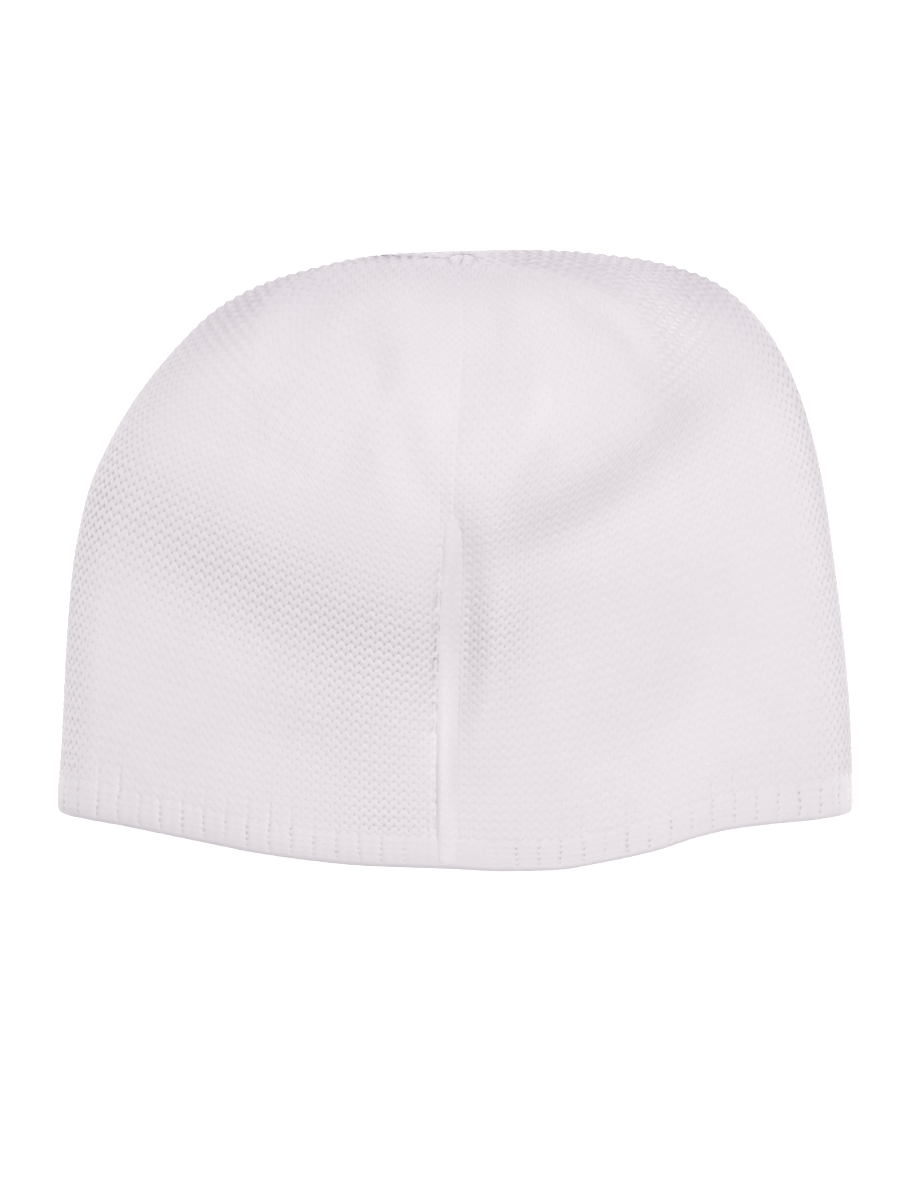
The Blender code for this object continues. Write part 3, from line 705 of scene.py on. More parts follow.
def guide_sheet(name, u, v, place, facing, strength, dusk, keep=None):
    """Smooth sheet that stitches are laid on, with its grid of (u, v) as a map."""
    keep = np.ones_like(strength, bool) if keep is None else keep
    quads = corners(np.arange(keep.size).reshape(keep.shape))[corners(keep).all(axis=-1)]
    obj = plain_object(name, place.reshape(-1, 3), quads.tolist())
    grid_u, grid_v = np.meshgrid(u, v)
    flat = np.stack([grid_u.ravel(), grid_v.ravel()], axis=-1) * UV_STEP + UV_SHIFT
    layer = obj.data.uv_layers.new(name="lay")
    layer.data.foreach_set("uv", flat[quads.ravel()].astype(np.float32).ravel())
    store(obj.data, "facing", facing, *VECTOR)
    store(obj.data, "strength", strength)
    # Share of painted shade for the yarn's colour
    store(obj.data, "dusk", dusk)
    return obj


def row_lengths(rows, angles):
    """Length along each row from its first angle."""
    path = fabric(angles[None, :], rows[:, None])
    steps = np.linalg.norm(np.diff(path, axis=1), axis=-1)
    return np.concatenate([np.zeros((len(rows), 1)), np.cumsum(steps, axis=1)], axis=1)


gore_v = np.arange(GORE_FROM, COURSES - GORE_CLEAR, GUIDE_STEP)
gore_rows = gore_v / COURSES
fine_angles = np.radians(np.arange(*FINE_DEGREES))
fine_lengths = row_lengths(gore_rows, fine_angles)


def length_at(angle, i):
    """Length along a row of the gores at an angle."""
    return np.interp(angle, fine_angles, fine_lengths[i])


def angle_at(length, i):
    """Angle at a length along a row of the gores."""
    return np.interp(length, fine_lengths[i], fine_angles)


def even_angles(row, total):
    """Angles that divide a whole row into equal lengths."""
    fine = np.linspace(0.0, 2 * np.pi, RING_STEPS)
    length = row_lengths(np.array([row]), fine)[0]
    return np.interp(np.arange(total + 1) / total * length[-1], length, fine)


rib_angles = even_angles(RIB_SHARE / 2, RIB_COUNT * RIB_STEPS)


def gore_grid(u, centre, low, high):
    """Angles of a gore, distances from its middle, and wales that fit on each side in every row."""
    centre, low, high = np.radians([centre, low, high])
    angles = np.zeros((len(gore_v), len(u)))
    beside = np.zeros_like(angles)
    wales = np.zeros((len(gore_v), 2))
    halves = ((0, u < 0, low, centre - np.pi / 2), (1, u >= 0, high, centre + np.pi / 2))
    for i, row in enumerate(gore_rows):
        middle = length_at(centre, i)
        share = ease(row, *DART_TURN)
        for side, part, dart, next_centre in halves:
            even = angle_at(0.5 * (middle + length_at(next_centre, i)), i)
            border = even + (dart - even) * share
            reach = abs(length_at(border, i) - middle)
            count = min(HALF_GORE_WALES, reach / CROWN_WALE)
            wales[i, side] = count
            beside[i, part] = u[part] * reach / count
            angles[i, part] = angle_at(middle + beside[i, part], i)
    return angles, beside, wales


def stroke_depth(angles):
    """Depth of the strokes that run on from the grooves of the ribbing."""
    start = RIB_SHARE * COURSES + STROKE_LONG
    rib_place = np.interp(np.mod(angles, 2 * np.pi), rib_angles, np.arange(len(rib_angles)) / RIB_STEPS)
    aside = np.abs(rib_place - np.round(rib_place)) * np.pi * HAT_WIDTH / RIB_COUNT
    stroke = bell(aside, STROKE_HALF) * (1 - ease(gore_v, start, start + STROKE_FADE))[:, None]
    chance = np.random.RandomState(RIB_SEED + 1).uniform(0.0, 1.0, RIB_COUNT + 1)
    return STROKE_DEPTH * stroke * chance[np.round(rib_place).astype(int)]


def seam_depth(rows, beside):
    """Depth of the dark line beside the seam, and of the bed and the line under the bead."""
    chance = np.random.RandomState(GROOVE_SEED)
    uneven = chance.uniform(0.0, 1.0, len(gore_v))[:, None] ** GROOVE_POWER
    off = beside + GROOVE_BESIDE + chance.uniform(-GROOVE_WAVER, GROOVE_WAVER, len(gore_v))[:, None]
    along = np.interp(rows, *(column(GROOVE, GROOVE_COLUMNS, name) for name in GROOVE_COLUMNS))
    depth = GROOVE_DEPTH * bell(off, GROOVE_HALF) * along * uneven
    ridge = 1 - ease(rows, *SEAM_FADE)
    depth = depth + SEAM_BED * (1 - ease(np.abs(beside), *SEAM_BED_SPAN)) * ridge
    return depth + SEAM_LINE * bell(beside, SEAM_LINE_HALF) * (1 - ridge) * (rows < SEAM_END)


def gathers(rows, u, fits):
    """How far the courses of a side gore stand apart."""
    between = np.abs(np.mod(gore_v, 1.0) - BETWEEN_AT) < BETWEEN_HALF
    gathered = ease(rows, *GATHER_START) * (1 - ease(rows, *GATHER_END)) * between[:, None]
    return gathered * ease(fits - np.abs(u)[None, :], *GATHER_CLEAR)


def gore_guide(name, centre, low, high):
    """Guide of one gore, and how many wales fit on each side of its middle in every row."""
    widest = HALF_GORE_WALES + GORE_SPARE
    u = np.arange(-widest, widest + ARANGE_END, 0.5 * GUIDE_STEP)
    angles, beside, wales = gore_grid(u, centre, low, high)
    rows = np.repeat(gore_rows[:, None], len(u), axis=1)
    place = fabric(angles, rows)
    facing = grid_normals(place)
    # Painted shade near the outline and on the crown
    dusk = painted_shade_by_place(place)
    fits = np.where(u[None, :] < 0, wales[:, :1], wales[:, 1:])
    narrow = ease(HALF_GORE_WALES - fits, *DART_NARROW)
    over = np.clip(np.abs(u)[None, :] - (fits + DART_CLEAR), 0.0, DART_LAP)
    depth = STITCH_RELIEF + (DART_SINK * over + DART_TUCK * ease(over, *DART_TUCKED)) * narrow
    depth = depth + DIVE * ease(RIB_SHARE * COURSES - gore_v, *DIVE_SPAN)[:, None] + stroke_depth(angles)
    arm = (1 - gore_rows)[:, None] * MIDDLE_LENGTH
    depth = depth + CLOSURE_BED * (1 - ease(arm, *CLOSURE_BED_SPAN))
    if name == "back":
        depth = depth + seam_depth(rows, beside)
    if name in ("right", "left"):
        gathered = gathers(rows, u, fits)
        depth = depth + GATHER_DEPTH * gathered
        # Painted shade in the gaps between the gathered courses
        dusk = dusk + GATHER_PAINTED_SHADE * gathered * bell(off_outline(place), GATHER_PAINTED_SHADE_REACH)
    place = place - facing * depth[..., None]
    strength = stitch_strength(place, angles)
    keep = np.abs(u)[None, :] <= fits + GORE_KEPT
    return guide_sheet(name + "_guide", u, gore_v, place, facing, strength, dusk, keep), wales


def gore_places(wales):
    """Where each stitch of a gore sits: middle of its wale and its course."""
    places = []
    for course in range(FIRST_COURSE, COURSES):
        from_row = max(int((course - 0.5 - gore_v[0]) / GUIDE_STEP), 0)
        to_row = int((course + 1.5 - gore_v[0]) / GUIDE_STEP) + 1
        for side, sign in ((0, -1), (1, 1)):
            fit = wales[from_row:to_row, side].max()
            for k in range(HALF_GORE_WALES + 2):
                if k + 0.5 < fit + GORE_LAP and (k < HALF_GORE_WALES or fit < HALF_GORE_WALES):
                    places.append((sign * (k + 0.5), course, 0.0))
    return places


def rib_guide():
    """Guide of the hem: up the outside, and round the rolled edge to the inside."""
    edge = 0.5 * WALL
    course = RIB_SHARE * MIDDLE_LENGTH / RIB_COURSES
    roll = 0.5 * np.pi * edge / course
    top = roll + (RIB_SHARE * MIDDLE_LENGTH - edge) / course
    turned_in = np.arange(-RIB_INNER, -roll, GUIDE_STEP)
    rolled = np.linspace(-roll, roll, RIB_ROLL_STEPS)
    outside = np.linspace(roll, top, RIB_OUTER_STEPS)[1:]
    v = np.concatenate([turned_in, rolled, outside, [top + RIB_OVER]])
    u = np.arange(0.0, RIB_COUNT + ARANGE_END, 1 / RIB_STEPS)
    angles = rib_angles.copy()
    angles[0] -= RIB_LAP
    angles[-1] += RIB_LAP
    turn = np.clip((roll - v) / (2 * roll), 0.0, 1.0) * np.pi
    rise = np.where(np.abs(v) <= roll, edge * (1 - np.sin(turn)), edge + (np.abs(v) - roll) * course)
    rise = rise + HEM_SHORTER * (1 - ease(np.abs(v), *HEM_SHORTER_SPAN))
    angles, rows = np.meshgrid(angles, np.clip(rise / MIDDLE_LENGTH, 0.0, 1.0))
    smooth, up, out = fabric_frame(angles, rows, rows, rows + ROW_NUDGE)
    nominal = smooth - out * (edge * (1 - np.cos(turn)))[:, None, None]
    up /= np.linalg.norm(up, axis=-1, keepdims=True)
    facing = out * np.cos(turn)[:, None, None] - up * np.sin(turn)[:, None, None]
    lip = HEM_ROLL * bell(v - HEM_ROLL_AT, HEM_ROLL_REACH)[:, None] * ease(np.cos(angles), *HEM_BACK)
    nominal = nominal + facing * lip[..., None]
    span = np.minimum(angles, 2 * np.pi - angles)
    beside = np.sin(np.minimum(span, 0.5 * np.pi)) * 0.5 * HAT_WIDTH
    strength = RIB_LEAST + (1 - RIB_LEAST) * (1 - np.exp(-((beside / RIB_BLUR) ** RIB_BLUR_POWER)))
    soft = ease(np.abs(v - HEM_SOFT_AT), *HEM_SOFT_SPAN)[:, None]
    strength = strength * (HEM_SOFT_LEAST + (1 - HEM_SOFT_LEAST) * soft)
    chance = np.random.RandomState(RIB_SEED).uniform(*RIB_CHANCE, (RIB_CHANCE_ROWS, 2 * RIB_COUNT + 2))
    drawn = chance[np.floor(v + RIB_CHANCE_SHIFT).astype(int)]
    strength = strength * drawn[:, np.floor(2 * u + 0.5).astype(int)]
    sunk = RIB_RELIEF + RIB_TUCK * ease(v, top - RIB_TUCK_LONG, top + RIB_OVER)
    place = nominal - facing * sunk[:, None, None]
    # Painted shade along the rolled edge of the hem, deeper on the left
    dusk = HEM_PAINTED_SHADE * (1 - ease(place[..., 0] / HAT_WIDTH, *HEM_PAINTED_SHADE_ACROSS)) + HEM_PAINTED_SHADE_LEAST
    dusk = dusk * bell(v - HEM_PAINTED_SHADE_AT, HEM_PAINTED_SHADE_REACH)[:, None] * (np.cos(angles) > HEM_PAINTED_SHADE_ROUND)
    return guide_sheet("rib_guide", u - RIB_COUNT / 2, v, place, facing, strength, dusk), top


def seam_guide():
    """Guide of the bead up the back: two wales laid over a low ridge."""
    u = np.linspace(-1.0, 1.0, SEAM_ACROSS_STEPS)
    v = np.arange(0.0, SEAM_END * COURSES, GUIDE_STEP)
    row = v / COURSES
    half = SEAM_WIDE * (SEAM_HALF + (SEAM_HALF_TOP - SEAM_HALF) * ease(row, SEAM_NARROW, SEAM_END))
    arm = np.minimum(0.5 * HAT_WIDTH, np.maximum((1 - row) * MIDDLE_LENGTH * SEAM_ARM, WALL))
    angles = np.arcsin(np.clip(u[None, :] * half[:, None] / arm[:, None], -SEAM_TURN_MOST, SEAM_TURN_MOST))
    rows = np.repeat(row[:, None], len(u), axis=1)
    smooth, _, facing = fabric_frame(angles, np.maximum(rows - ROW_NUDGE, 0.0), rows, rows + ROW_NUDGE)
    fade = ease(row, *SEAM_FADE)
    high = SEAM_RIDGE * (1 - (1 - SEAM_FAINT) * fade) * (1 - SEAM_LOW * (1 - ease(row, *SEAM_LOW_ROWS)))
    section = ease(u, *SEAM_RISE) * (1 - ease(u, *SEAM_FALL))
    tucked = SEAM_TUCK * (ease(-u, *SEAM_TUCK_LEFT) + ease(u, *SEAM_TUCK_RIGHT))
    sunk = SEAM_SINK * (1 - ease(v, *SEAM_START) * (1 - fade))
    bead = section[None, :] * high[:, None] - tucked[None, :] - sunk[:, None]
    place = smooth + facing * (bead - SEAM_RELIEF)[..., None]
    # Painted light on the bead's middle; painted shade brings its edges back to the body's colour and darkens
    # its right side
    match = (SEAM_PAINTED_LIGHT[0] - YARN_COLOUR[0]) / (SEAM_PAINTED_LIGHT[0] - YARN_PAINTED_SHADE[0])
    pale = (1 - ease(np.abs(u), *SEAM_PAINTED_LIGHT_ACROSS))[None, :] * (1 - ease(row, *SEAM_PAINTED_LIGHT_ROWS))[:, None]
    shaded = ease(row, *SEAM_PAINTED_SHADE_START) * (1 - ease(row, *SEAM_PAINTED_SHADE_END))
    dusk = match * (1 - pale) + SEAM_PAINTED_SHADE * ease(u, *SEAM_PAINTED_SHADE_ACROSS)[None, :] * shaded[:, None]
    strength = SEAM_STRENGTH * np.ones_like(bead)
    return guide_sheet("seam_guide", u, v, place, grid_normals(place), strength, dusk)


class Term:
    """A value in a node tree that plain arithmetic works on."""

    def __init__(self, net, socket):
        self.net = net
        self.socket = socket

    def _math(self, operation, *values):
        return self.net.add("ShaderNodeMath", {"operation": operation}, dict(enumerate(values)))

    def __add__(self, other):
        return self._math("ADD", self, other)

    __radd__ = __add__

    def __sub__(self, other):
        return self._math("SUBTRACT", self, other)

    def __rsub__(self, other):
        return self._math("SUBTRACT", other, self)

    def __mul__(self, other):
        return self._math("MULTIPLY", self, other)

    __rmul__ = __mul__

    def __truediv__(self, other):
        return self._math("DIVIDE", self, other)

    def __pow__(self, other):
        return self._math("POWER", self, other)

    def sine(self):
        return self._math("SINE", self)

    def clamp(self, low=0.0, high=1.0):
        return self._math("MINIMUM", self._math("MAXIMUM", self, low), high)


class Net:
    """Builds the nodes of a material or of a geometry tree."""

    def __init__(self, tree):
        self.tree = tree

    def add(self, kind, settings=None, inputs=None, out=0):
        node = self.tree.nodes.new(kind)
        for key, value in (settings or {}).items():
            setattr(node, key, value)
        for key, value in (inputs or {}).items():
            target = node.inputs[key]
            if isinstance(value, Term):
                self.tree.links.new(value.socket, target)
            else:
                target.default_value = value
        if out is None:
            return node
        return Term(self, node.outputs[out])

    def vector(self, operation, *values, **more):
        return self.add("ShaderNodeVectorMath", {"operation": operation}, {**dict(enumerate(values)), **more})

    def combine(self, x, y, z):
        return self.add("ShaderNodeCombineXYZ", None, {0: x, 1: y, 2: z})

    def split(self, value):
        node = self.add("ShaderNodeSeparateXYZ", None, {0: value}, out=None)
        return [Term(self, node.outputs[i]) for i in range(3)]


def lay_stitches_tree():
    """Geometry tree that repeats a stitch over a guide and joins the copies into one sheet."""
    tree = bpy.data.node_groups.new("lay_stitches", "GeometryNodeTree")
    sockets = {"Places": "Geometry", "Stitch": "Object", "Guide": "Object", "Yarn": "Material"}
    sockets.update(dict.fromkeys(("Relief", "Join within", "Sway", "Uneven", "Seed"), "Float"))
    sockets.update(dict.fromkeys(("Bake scale", "Bake shift"), "Vector"))
    for name, kind in sockets.items():
        tree.interface.new_socket(name=name, in_out="INPUT", socket_type="NodeSocket" + kind)
    tree.interface.new_socket(name="Knit", in_out="OUTPUT", socket_type="NodeSocketGeometry")
    net = Net(tree)
    entry = net.add("NodeGroupInput", out=None)
    take = {name: Term(net, entry.outputs[name]) for name in sockets}

    def geo(kind, given=None, settings=None, out=0):
        return net.add("GeometryNode" + kind, settings, given, out)

    def stored(name, kind):
        return geo("InputNamedAttribute", {"Name": name}, {"data_type": kind})

    def told(geometry, name, kind, value, domain="POINT"):
        given = {"Geometry": geometry, "Name": name, "Value": value}
        return geo("StoreNamedAttribute", given, {"data_type": kind, "domain": domain})

    def sample(kind, value, at_u, at_v):
        lay = net.combine(at_u * UV_STEP + float(UV_SHIFT[0]), at_v * UV_STEP + float(UV_SHIFT[1]), 0.0)
        given = {"Mesh": guide, "Value": value, "Source UV Map": lay_map, "Sample UV": lay}
        node = geo("SampleUVSurface", given, {"data_type": kind}, out=None)
        return Term(net, node.outputs["Value"]), Term(net, node.outputs["Is Valid"])

    def noise(scale, shift, out):
        given = {"Vector": spot, "W": take["Seed"] + shift, "Scale": scale, "Detail": 1.0}
        return net.add("ShaderNodeTexNoise", {"noise_dimensions": "4D"}, given, out=out)

    stitch = geo("ObjectInfo", {"Object": take["Stitch"]}, out="Geometry")
    guide = geo("ObjectInfo", {"Object": take["Guide"]}, out="Geometry")
    copies = geo("InstanceOnPoints", {"Points": take["Places"], "Instance": stitch})
    real = geo("RealizeInstances", {"Geometry": copies})
    sheet = geo("MergeByDistance", {"Geometry": real, "Distance": take["Join within"]})
    u, v, lift = net.split(geo("InputPosition"))
    lay_map = stored("lay", "FLOAT_VECTOR")
    on_guide = geo("InputPosition")
    spot, _ = sample("FLOAT_VECTOR", on_guide, u, v)
    sway_u, sway_v, _ = net.split(noise(SWAY_NOISE, 0.0, "Color"))
    puff = noise(PUFF_NOISE, PUFF_SHIFT, "Fac")
    bent_u = u + (sway_u - 0.5) * take["Sway"]
    bent_v = v + (sway_v - 0.5) * take["Sway"]
    place, valid = sample("FLOAT_VECTOR", on_guide, bent_u, bent_v)
    facing, _ = sample("FLOAT_VECTOR", stored("facing", "FLOAT_VECTOR"), bent_u, bent_v)
    strength, _ = sample("FLOAT", stored("strength", "FLOAT"), bent_u, bent_v)
    # Painted shade carried from the guide to the stitches
    dusk, _ = sample("FLOAT", stored("dusk", "FLOAT"), bent_u, bent_v)
    off = net.add("FunctionNodeBooleanMath", {"operation": "NOT"}, {0: valid})
    trimmed = geo("DeleteGeometry", {"Geometry": sheet, "Selection": off}, {"domain": "POINT"})
    # Relief share of the stitch, which also sets the painted shade between the stitches
    shaped = 1.0 - (1.0 - lift) * strength
    known = told(trimmed, "knit", "FLOAT_VECTOR", net.combine(u, v, shaped))
    shaded = told(known, "dusk", "FLOAT", dusk)
    high = shaped * (1.0 + (puff - 0.5) * take["Uneven"]) * take["Relief"]
    x, y, z = net.split(net.vector("ADD", place, net.vector("SCALE", facing, Scale=high)))
    laid = net.combine(x, y, z.clamp(0.0, HEIGHT_MOST))
    moved = geo("SetPosition", {"Geometry": shaded, "Position": laid})
    bake = net.vector("MULTIPLY_ADD", stored("knit", "FLOAT_VECTOR"), take["Bake scale"], take["Bake shift"])
    mapped = told(moved, "OFBake", "FLOAT2", bake, "CORNER")
    smooth = geo("SetShadeSmooth", {"Geometry": mapped, "Shade Smooth": True})
    real_again = geo("RealizeInstances", {"Geometry": smooth})
    yarn = geo("SetMaterial", {"Geometry": real_again, "Material": take["Yarn"]})
    net.add("NodeGroupOutput", None, {"Knit": yarn}, out=None)
    return tree


def stitch_tile(name, across, rake, heights):
    """One stitch as a small sheet: heights has a row for each step up, from its middle to its side."""
    rows = [[*half[:0:-1], *half] for half in heights]
    points = [(a, b + rake(a), rows[j][i]) for j, b in enumerate(TILE_UP) for i, a in enumerate(across)]
    index = np.arange(len(points)).reshape(len(TILE_UP), len(across))
    return plain_object(name, points, corners(index).reshape(-1, 4).tolist())


def knit_piece(name, places, tile, guide, relief, yarn, seed, scale, shift, sway=SWAY, uneven=UNEVEN):
    """Lay the tile at its places on the guide as a plain mesh; scale and shift place its bake map."""
    base = plain_object(name + "_places", places)
    change = base.modifiers.new("stitches", "NODES")
    change.node_group = stitches
    given = {
        "Stitch": tile,
        "Guide": guide,
        "Relief": relief,
        "Join within": JOIN_WITHIN,
        "Sway": sway,
        "Uneven": uneven,
        "Seed": float(seed),
        "Bake scale": scale,
        "Bake shift": shift,
        "Yarn": yarn,
    }
    for item in stitches.interface.items_tree:
        if item.in_out == "INPUT" and item.name in given:
            change[item.identifier] = given[item.name]
    view = bpy.context.evaluated_depsgraph_get()
    mesh = bpy.data.meshes.new_from_object(base.evaluated_get(view))
    mesh.name = name
    piece = linked(name, mesh)
    for helper in (base, guide):
        bpy.data.meshes.remove(helper.data, do_unlink=True)
    return piece


class KnitMaterial:
    """What the materials of both sides of the knitting share."""

    def __init__(self, name, mottle_rough, fibre_rough):
        self.material = bpy.data.materials.new(name)
        self.material.use_nodes = True
        self.material.node_tree.nodes.clear()
        self.net = Net(self.material.node_tree)
        self.spot = self.net.add("ShaderNodeTexCoord", None, None, out="Object")
        self.knit = self.net.split(self.told("knit", "Vector"))
        self.mottle = self.noise(MOTTLE_SCALE, mottle_rough)
        self.fibre = self.noise(FIBRE_SCALE, fibre_rough)

    def told(self, name, out):
        return self.net.add("ShaderNodeAttribute", {"attribute_name": name}, None, out=out)

    def noise(self, scale, rough):
        given = {"Vector": self.spot, "Scale": scale, "Detail": NOISE_DETAIL, "Roughness": rough}
        return self.net.add("ShaderNodeTexNoise", None, given, out="Fac")

    def shade(self, height, high, mottle, fibre, least=0.0):
        return (height * high + (self.mottle - 0.5) * mottle + (self.fibre - 0.5) * fibre + least).clamp()

    def mix(self, share, first, second):
        return self.net.add("ShaderNodeMix", {"data_type": "RGBA"}, {0: share, 6: first, 7: second}, out=2)

    def finish(self, tone, rough, strength, distance, height):
        """Fine bumps and the soft sheen of cotton."""
        bumps = {"Strength": strength, "Distance": distance, "Height": height}
        bump = self.net.add("ShaderNodeBump", None, bumps)
        look = {"Base Color": tone, "Roughness": rough, "Normal": bump, **COTTON}
        shader = self.net.add("ShaderNodeBsdfPrincipled", None, look)
        self.net.add("ShaderNodeOutputMaterial", None, {"Surface": shader}, out=None)
        return self.material


def yarn_material(name, colour, pit):
    """Soft cotton yarn: painted shade between the stitches, faintly mottled, with fine fibres."""
    made = KnitMaterial(name, MOTTLE_ROUGH, FIBRE_ROUGH)
    u, v, lift = made.knit
    ply = (u * PLY_ACROSS + v * PLY_UP).sine() * 0.5 + 0.5
    # Painted shade between the stitches: low places of the stitch take the pit shade colour
    with_pit_shade = made.mix(made.shade((lift / pit).clamp(), *YARN_SHADE), YARN_PAINTED_PIT_SHADE, colour)
    # Painted shade: the colour goes towards the shade colour by the stored share
    tone = made.mix(made.told("dusk", "Fac"), with_pit_shade, YARN_PAINTED_SHADE)
    rough = YARN_ROUGH + (made.fibre - 0.5) * YARN_ROUGH_FIBRE
    return made.finish(tone, rough, FUZZ, FUZZ_DISTANCE, made.fibre * FUZZ_FIBRE + ply * (1 - FUZZ_FIBRE))


def inside_material(name):
    """Purl side of the knitting, low bumps in rows with painted shade between them."""
    made = KnitMaterial(name, PURL_NOISE_ROUGH, PURL_NOISE_ROUGH)
    u, v, _ = made.knit
    wave = (u * (2 * np.pi)).sine()
    purl = ((v + wave * PURL_SWING) * (2 * np.pi)).sine() * 0.5 + 0.5
    height = (purl * PURL_HEIGHT + (wave * 0.5 + 0.5) * PURL_GAP).clamp()
    # Painted shade between the purl bumps
    tone = made.mix(made.shade(height, *PURL_SHADE), YARN_PAINTED_PIT_SHADE, YARN_COLOUR)
    return made.finish(tone, PURL_ROUGH, PURL_BUMP, PURL_DISTANCE, height + made.fibre * PURL_BUMP_FIBRE)


yarn = yarn_material("cotton_yarn", YARN_COLOUR, PLAIN_PIT)
rib_yarn = yarn_material("rib_yarn", YARN_COLOUR, RIB_PIT)
# Yarn of the seam in the paler colour of painted light
seam_yarn = yarn_material("seam_yarn", SEAM_PAINTED_LIGHT, PLAIN_PIT)
purl_yarn = inside_material("purl_side")

stitches = lay_stitches_tree()

# Stitch of the plain knitting: one wave of a course, high on its arcs, with a pit beside each arc
WAVE_ACROSS = (-0.5, -0.335, -0.165, 0.0, 0.165, 0.335, 0.5)
TILE_UP = (0.0, 0.25, 0.5, 0.75, 1.0)
WAVE_HEIGHTS = [
    [0.00, 0.58, 0.58, 0.00],
    [0.74, 0.84, 0.84, 0.74],
    [1.00, 0.90, 0.90, 1.00],
    [0.84, 0.86, 0.86, 0.84],
    [0.00, 0.58, 0.58, 0.00],
]
WAVE_SWING = 0.25
wave_stitch = stitch_tile(
    "wave_stitch", WAVE_ACROSS, lambda a: WAVE_SWING * np.cos(2 * np.pi * a) - 0.5, WAVE_HEIGHTS
)

# Stitch of the ribbing: a broad ridge, and half a narrow groove on each side of it
RIB_ACROSS = (-0.5, -0.43, -0.36, -0.25, -0.08, 0.0, 0.08, 0.25, 0.36, 0.43, 0.5)
RIB_HEIGHTS = [
    [0.93, 1.00, 0.98, 0.94, 0.82, 0.70],
    [0.80, 0.98, 0.98, 0.92, 0.62, 0.36],
    [0.45, 0.96, 0.98, 0.91, 0.50, 0.00],
]
RIB_HEIGHTS += RIB_HEIGHTS[1::-1]
rib_stitch = stitch_tile("rib_stitch", RIB_ACROSS, lambda a: 0.0, RIB_HEIGHTS)

pieces = []
for name, centre, low, high in GORES:
    guide, wales = gore_guide(name, centre, low, high)
    piece = knit_piece(
        name + "_knit",
        gore_places(wales),
        wave_stitch,
        guide,
        STITCH_RELIEF,
        yarn,
        seed=3,
        scale=(0.02, 0.0135, 0.0),
        shift=(0.5, 0.02, 0.0),
    )
    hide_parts("knit_shell")
    pieces.append(piece)

guide, rib_top = rib_guide()
rib_courses = range(RIB_FIRST_COURSE, int(np.ceil(rib_top)))
rib_places = [(k + 0.5 - RIB_COUNT / 2, course, 0.0) for course in rib_courses for k in range(RIB_COUNT)]
rib = knit_piece(
    "rib_band",
    rib_places,
    rib_stitch,
    guide,
    RIB_RELIEF,
    rib_yarn,
    seed=51,
    scale=(0.0125, 0.062, 0.0),
    shift=(0.5, 0.52, 0.0),
    sway=0.30,
    uneven=0.20,
)
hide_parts("rib_hem")
pieces.append(rib)

seam_places = [(side, course, 0.0) for course in range(0, int(SEAM_END * COURSES)) for side in (-0.5, 0.5)]
seam = knit_piece(
    "seam_bead",
    seam_places,
    wave_stitch,
    seam_guide(),
    SEAM_RELIEF,
    seam_yarn,
    seed=71,
    scale=(0.4, 0.0135, 0.0),
    shift=(0.5, 0.02, 0.0),
    sway=0.05,
    uneven=0.3,
)
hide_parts("back_seam")
pieces.append(seam)


def ring_piece(name, place, knit, pole_knit, material, inward=False):
    """Smooth sheet of rings closed at a pole; its normals point inward or outward."""
    high, wide = place.shape[:2]
    points = np.concatenate([place.reshape(-1, 3), place[-1].mean(axis=0)[None, :]])
    faces = []
    for start in range(0, high * wide, wide):
        for j in range(wide):
            k = (j + 1) % wide
            a, b = (start + k, start + j) if inward else (start + j, start + k)
            faces.append((a, b, b + wide, a + wide) if start < (high - 1) * wide else (a, b, high * wide))
    obj = plain_object(name, points, faces)
    store(obj.data, "knit", np.concatenate([knit.reshape(-1, 3), [pole_knit]]), *VECTOR)
    obj.data.polygons.foreach_set("use_smooth", np.ones(len(faces), bool))
    obj.data.materials.append(material)
    return obj, points


def inside_wall():
    """Purl side of the knitting, seen through the mouth."""
    row = np.concatenate([[INSIDE_ROW], np.arange(INSIDE_FROM, COURSES - INSIDE_CLEAR, 1.0) / COURSES])
    angles, rows = np.meshgrid(np.linspace(0.0, 2 * np.pi, INSIDE_RING, endpoint=False), row)
    higher = np.minimum(rows + INSIDE_NUDGE, INSIDE_LAST)
    smooth, _, out = fabric_frame(angles, rows - INSIDE_NUDGE, rows, higher)
    wale = np.tile(np.arange(INSIDE_RING), (len(row), 1))
    knit = np.stack([wale, rows * COURSES, np.zeros_like(rows)], axis=-1)
    place = smooth - out * (INSIDE_DEEP * WALL)
    return ring_piece("inside_knit", place, knit, (0.0, COURSES, 0.0), purl_yarn, inward=True)[0]


inside = inside_wall()
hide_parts("knit_shell")
pieces.append(inside)


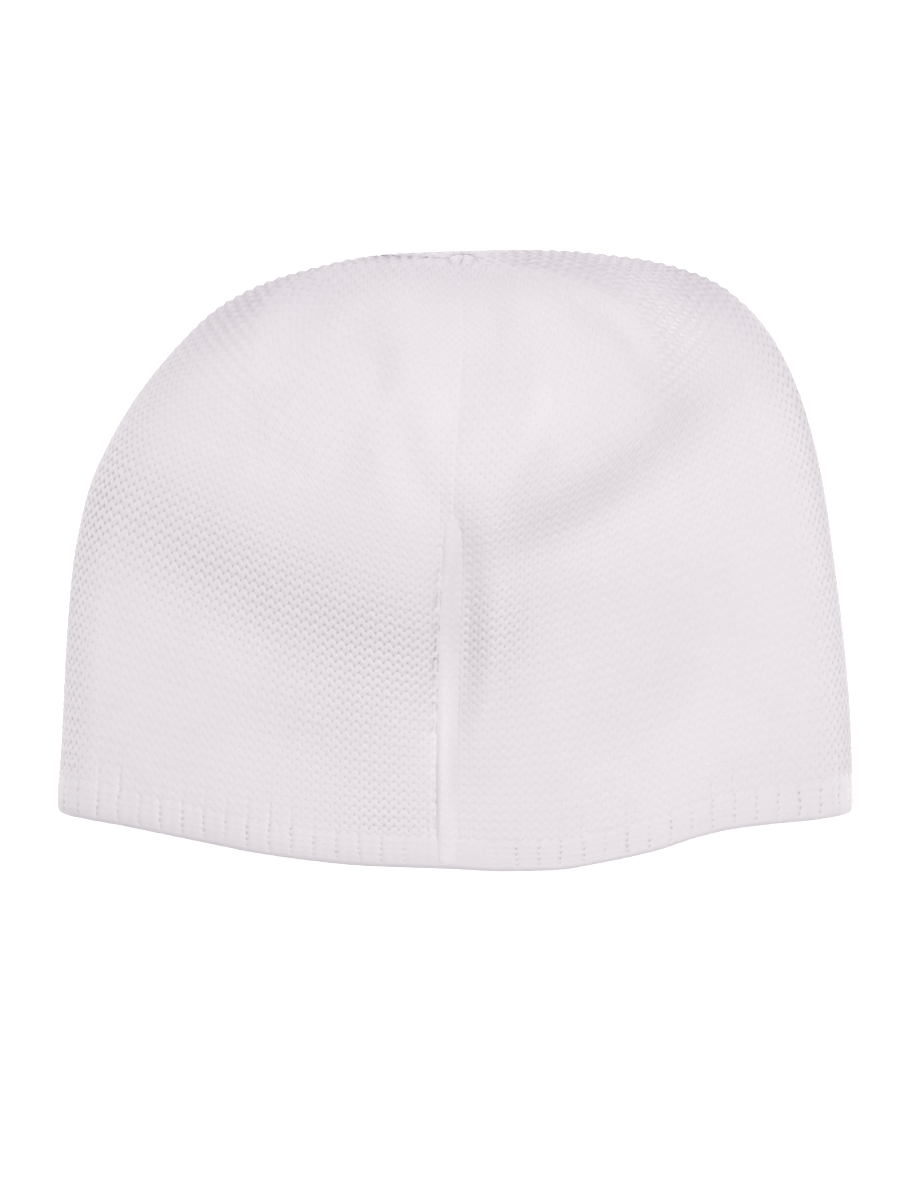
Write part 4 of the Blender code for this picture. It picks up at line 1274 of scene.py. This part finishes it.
def closure_knot():
    """Drawn-up stitch where the four decrease lines meet: a low puckered knot with a slit."""
    share = np.array(KNOT_SHARES)[:, None]
    turns = np.linspace(0.0, 2 * np.pi, KNOT_TURNS, endpoint=False)
    angles, shares = np.meshgrid(turns, share)
    smooth = fabric(angles, 1 - shares * CLOSURE_RADIUS / MIDDLE_LENGTH)
    flat = smooth - smooth[-1].mean(axis=0)
    ring = flat[KNOT_FACING_RING]
    facing = np.cross(ring, np.roll(ring, -1, axis=0)).mean(axis=0)
    facing /= np.linalg.norm(facing)
    if facing[2] < 0:
        facing = -facing
    dome = KNOT_DOME * (1 - (share / share[0]) ** 2)
    pleats = KNOT_PLEAT * np.cos(KNOT_PLEATS * turns)
    pleats = pleats * np.sin(np.pi * np.clip(share / KNOT_PLEAT_REACH, 0, 1))
    slit = bell(flat[..., 0] * SLIT_LEAN[0] - flat[..., 1] * SLIT_LEAN[1], SLIT_HALF)
    slit = slit * bell(np.linalg.norm(flat, axis=-1), SLIT_REACH)
    lift = dome + pleats - SLIT_DEPTH * slit - KNOT_SINK
    # Painted shade in the slit
    knit = np.stack([angles, shares, np.clip(1.0 - SLIT_PAINTED_SHADE * slit, 0, 1)], axis=-1) * KNOT_KNIT
    place = smooth + facing * lift[..., None]
    obj, points = ring_piece("closure_knot", place, knit, (0.0, 0.0, 0.0), yarn)
    # Painted shade near the outline, on the knot as well
    store(obj.data, "dusk", painted_shade_by_place(points[None, :, :]))
    return obj


knot = closure_knot()
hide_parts("crown_closure")
pieces.append(knot)

for helper in (wave_stitch, rib_stitch):
    bpy.data.objects.remove(helper, do_unlink=True)

for piece in pieces:
    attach(piece, "root")

pale = bpy.data.materials.new("pale_floor")
pale.use_nodes = True
for key, value in FLOOR_LOOK.items():
    pale.node_tree.nodes["Principled BSDF"].inputs[key].default_value = value
floor_corners = [(x * FLOOR_HALF, y * FLOOR_HALF, 0) for x, y in ((-1, -1), (1, -1), (1, 1), (-1, 1))]
floor = plain_object("floor", floor_corners, [(0, 1, 2, 3)])
floor.data.materials.append(pale)

bpy.context.scene.view_settings.view_transform = "Standard"
world = bpy.data.worlds.new("studio")
world.use_nodes = True
world.node_tree.nodes.clear()
sky = Net(world.node_tree)
_, _, overhead = sky.split(sky.add("ShaderNodeTexCoord", None, None, out="Generated"))
glow = SKY_SIDE + (SKY_TOP - SKY_SIDE) * overhead.clamp() ** SKY_POWER
dome = sky.add("ShaderNodeBackground", None, {"Color": WHITE, "Strength": glow})
sky.add("ShaderNodeOutputWorld", None, {"Surface": dome}, out=None)
bpy.context.scene.world = world

lamp = bpy.data.lights.new("key_lamp", "AREA")
lamp.shape = "DISK"
lamp.size = KEY_SIZE
lamp.energy = KEY_POWER
key_lamp = linked("key_lamp", lamp)
key_lamp.location = KEY_PLACE
key_lamp.rotation_euler = (-Vector(KEY_PLACE)).to_track_quat("-Z", "Y").to_euler()

lens = bpy.data.cameras.new("photo_camera")
lens.sensor_fit = "VERTICAL"
lens.sensor_height = SENSOR_HEIGHT
lens.lens = SENSOR_HEIGHT * CAMERA_AWAY / FIELD_HEIGHT
lens.clip_end = CLIP_END
camera = linked("photo_camera", lens)
camera.location = (FIELD_CENTRE[0], FIELD_CENTRE[1], CAMERA_AWAY + FIELD_LEVEL)
bpy.context.scene.camera = camera
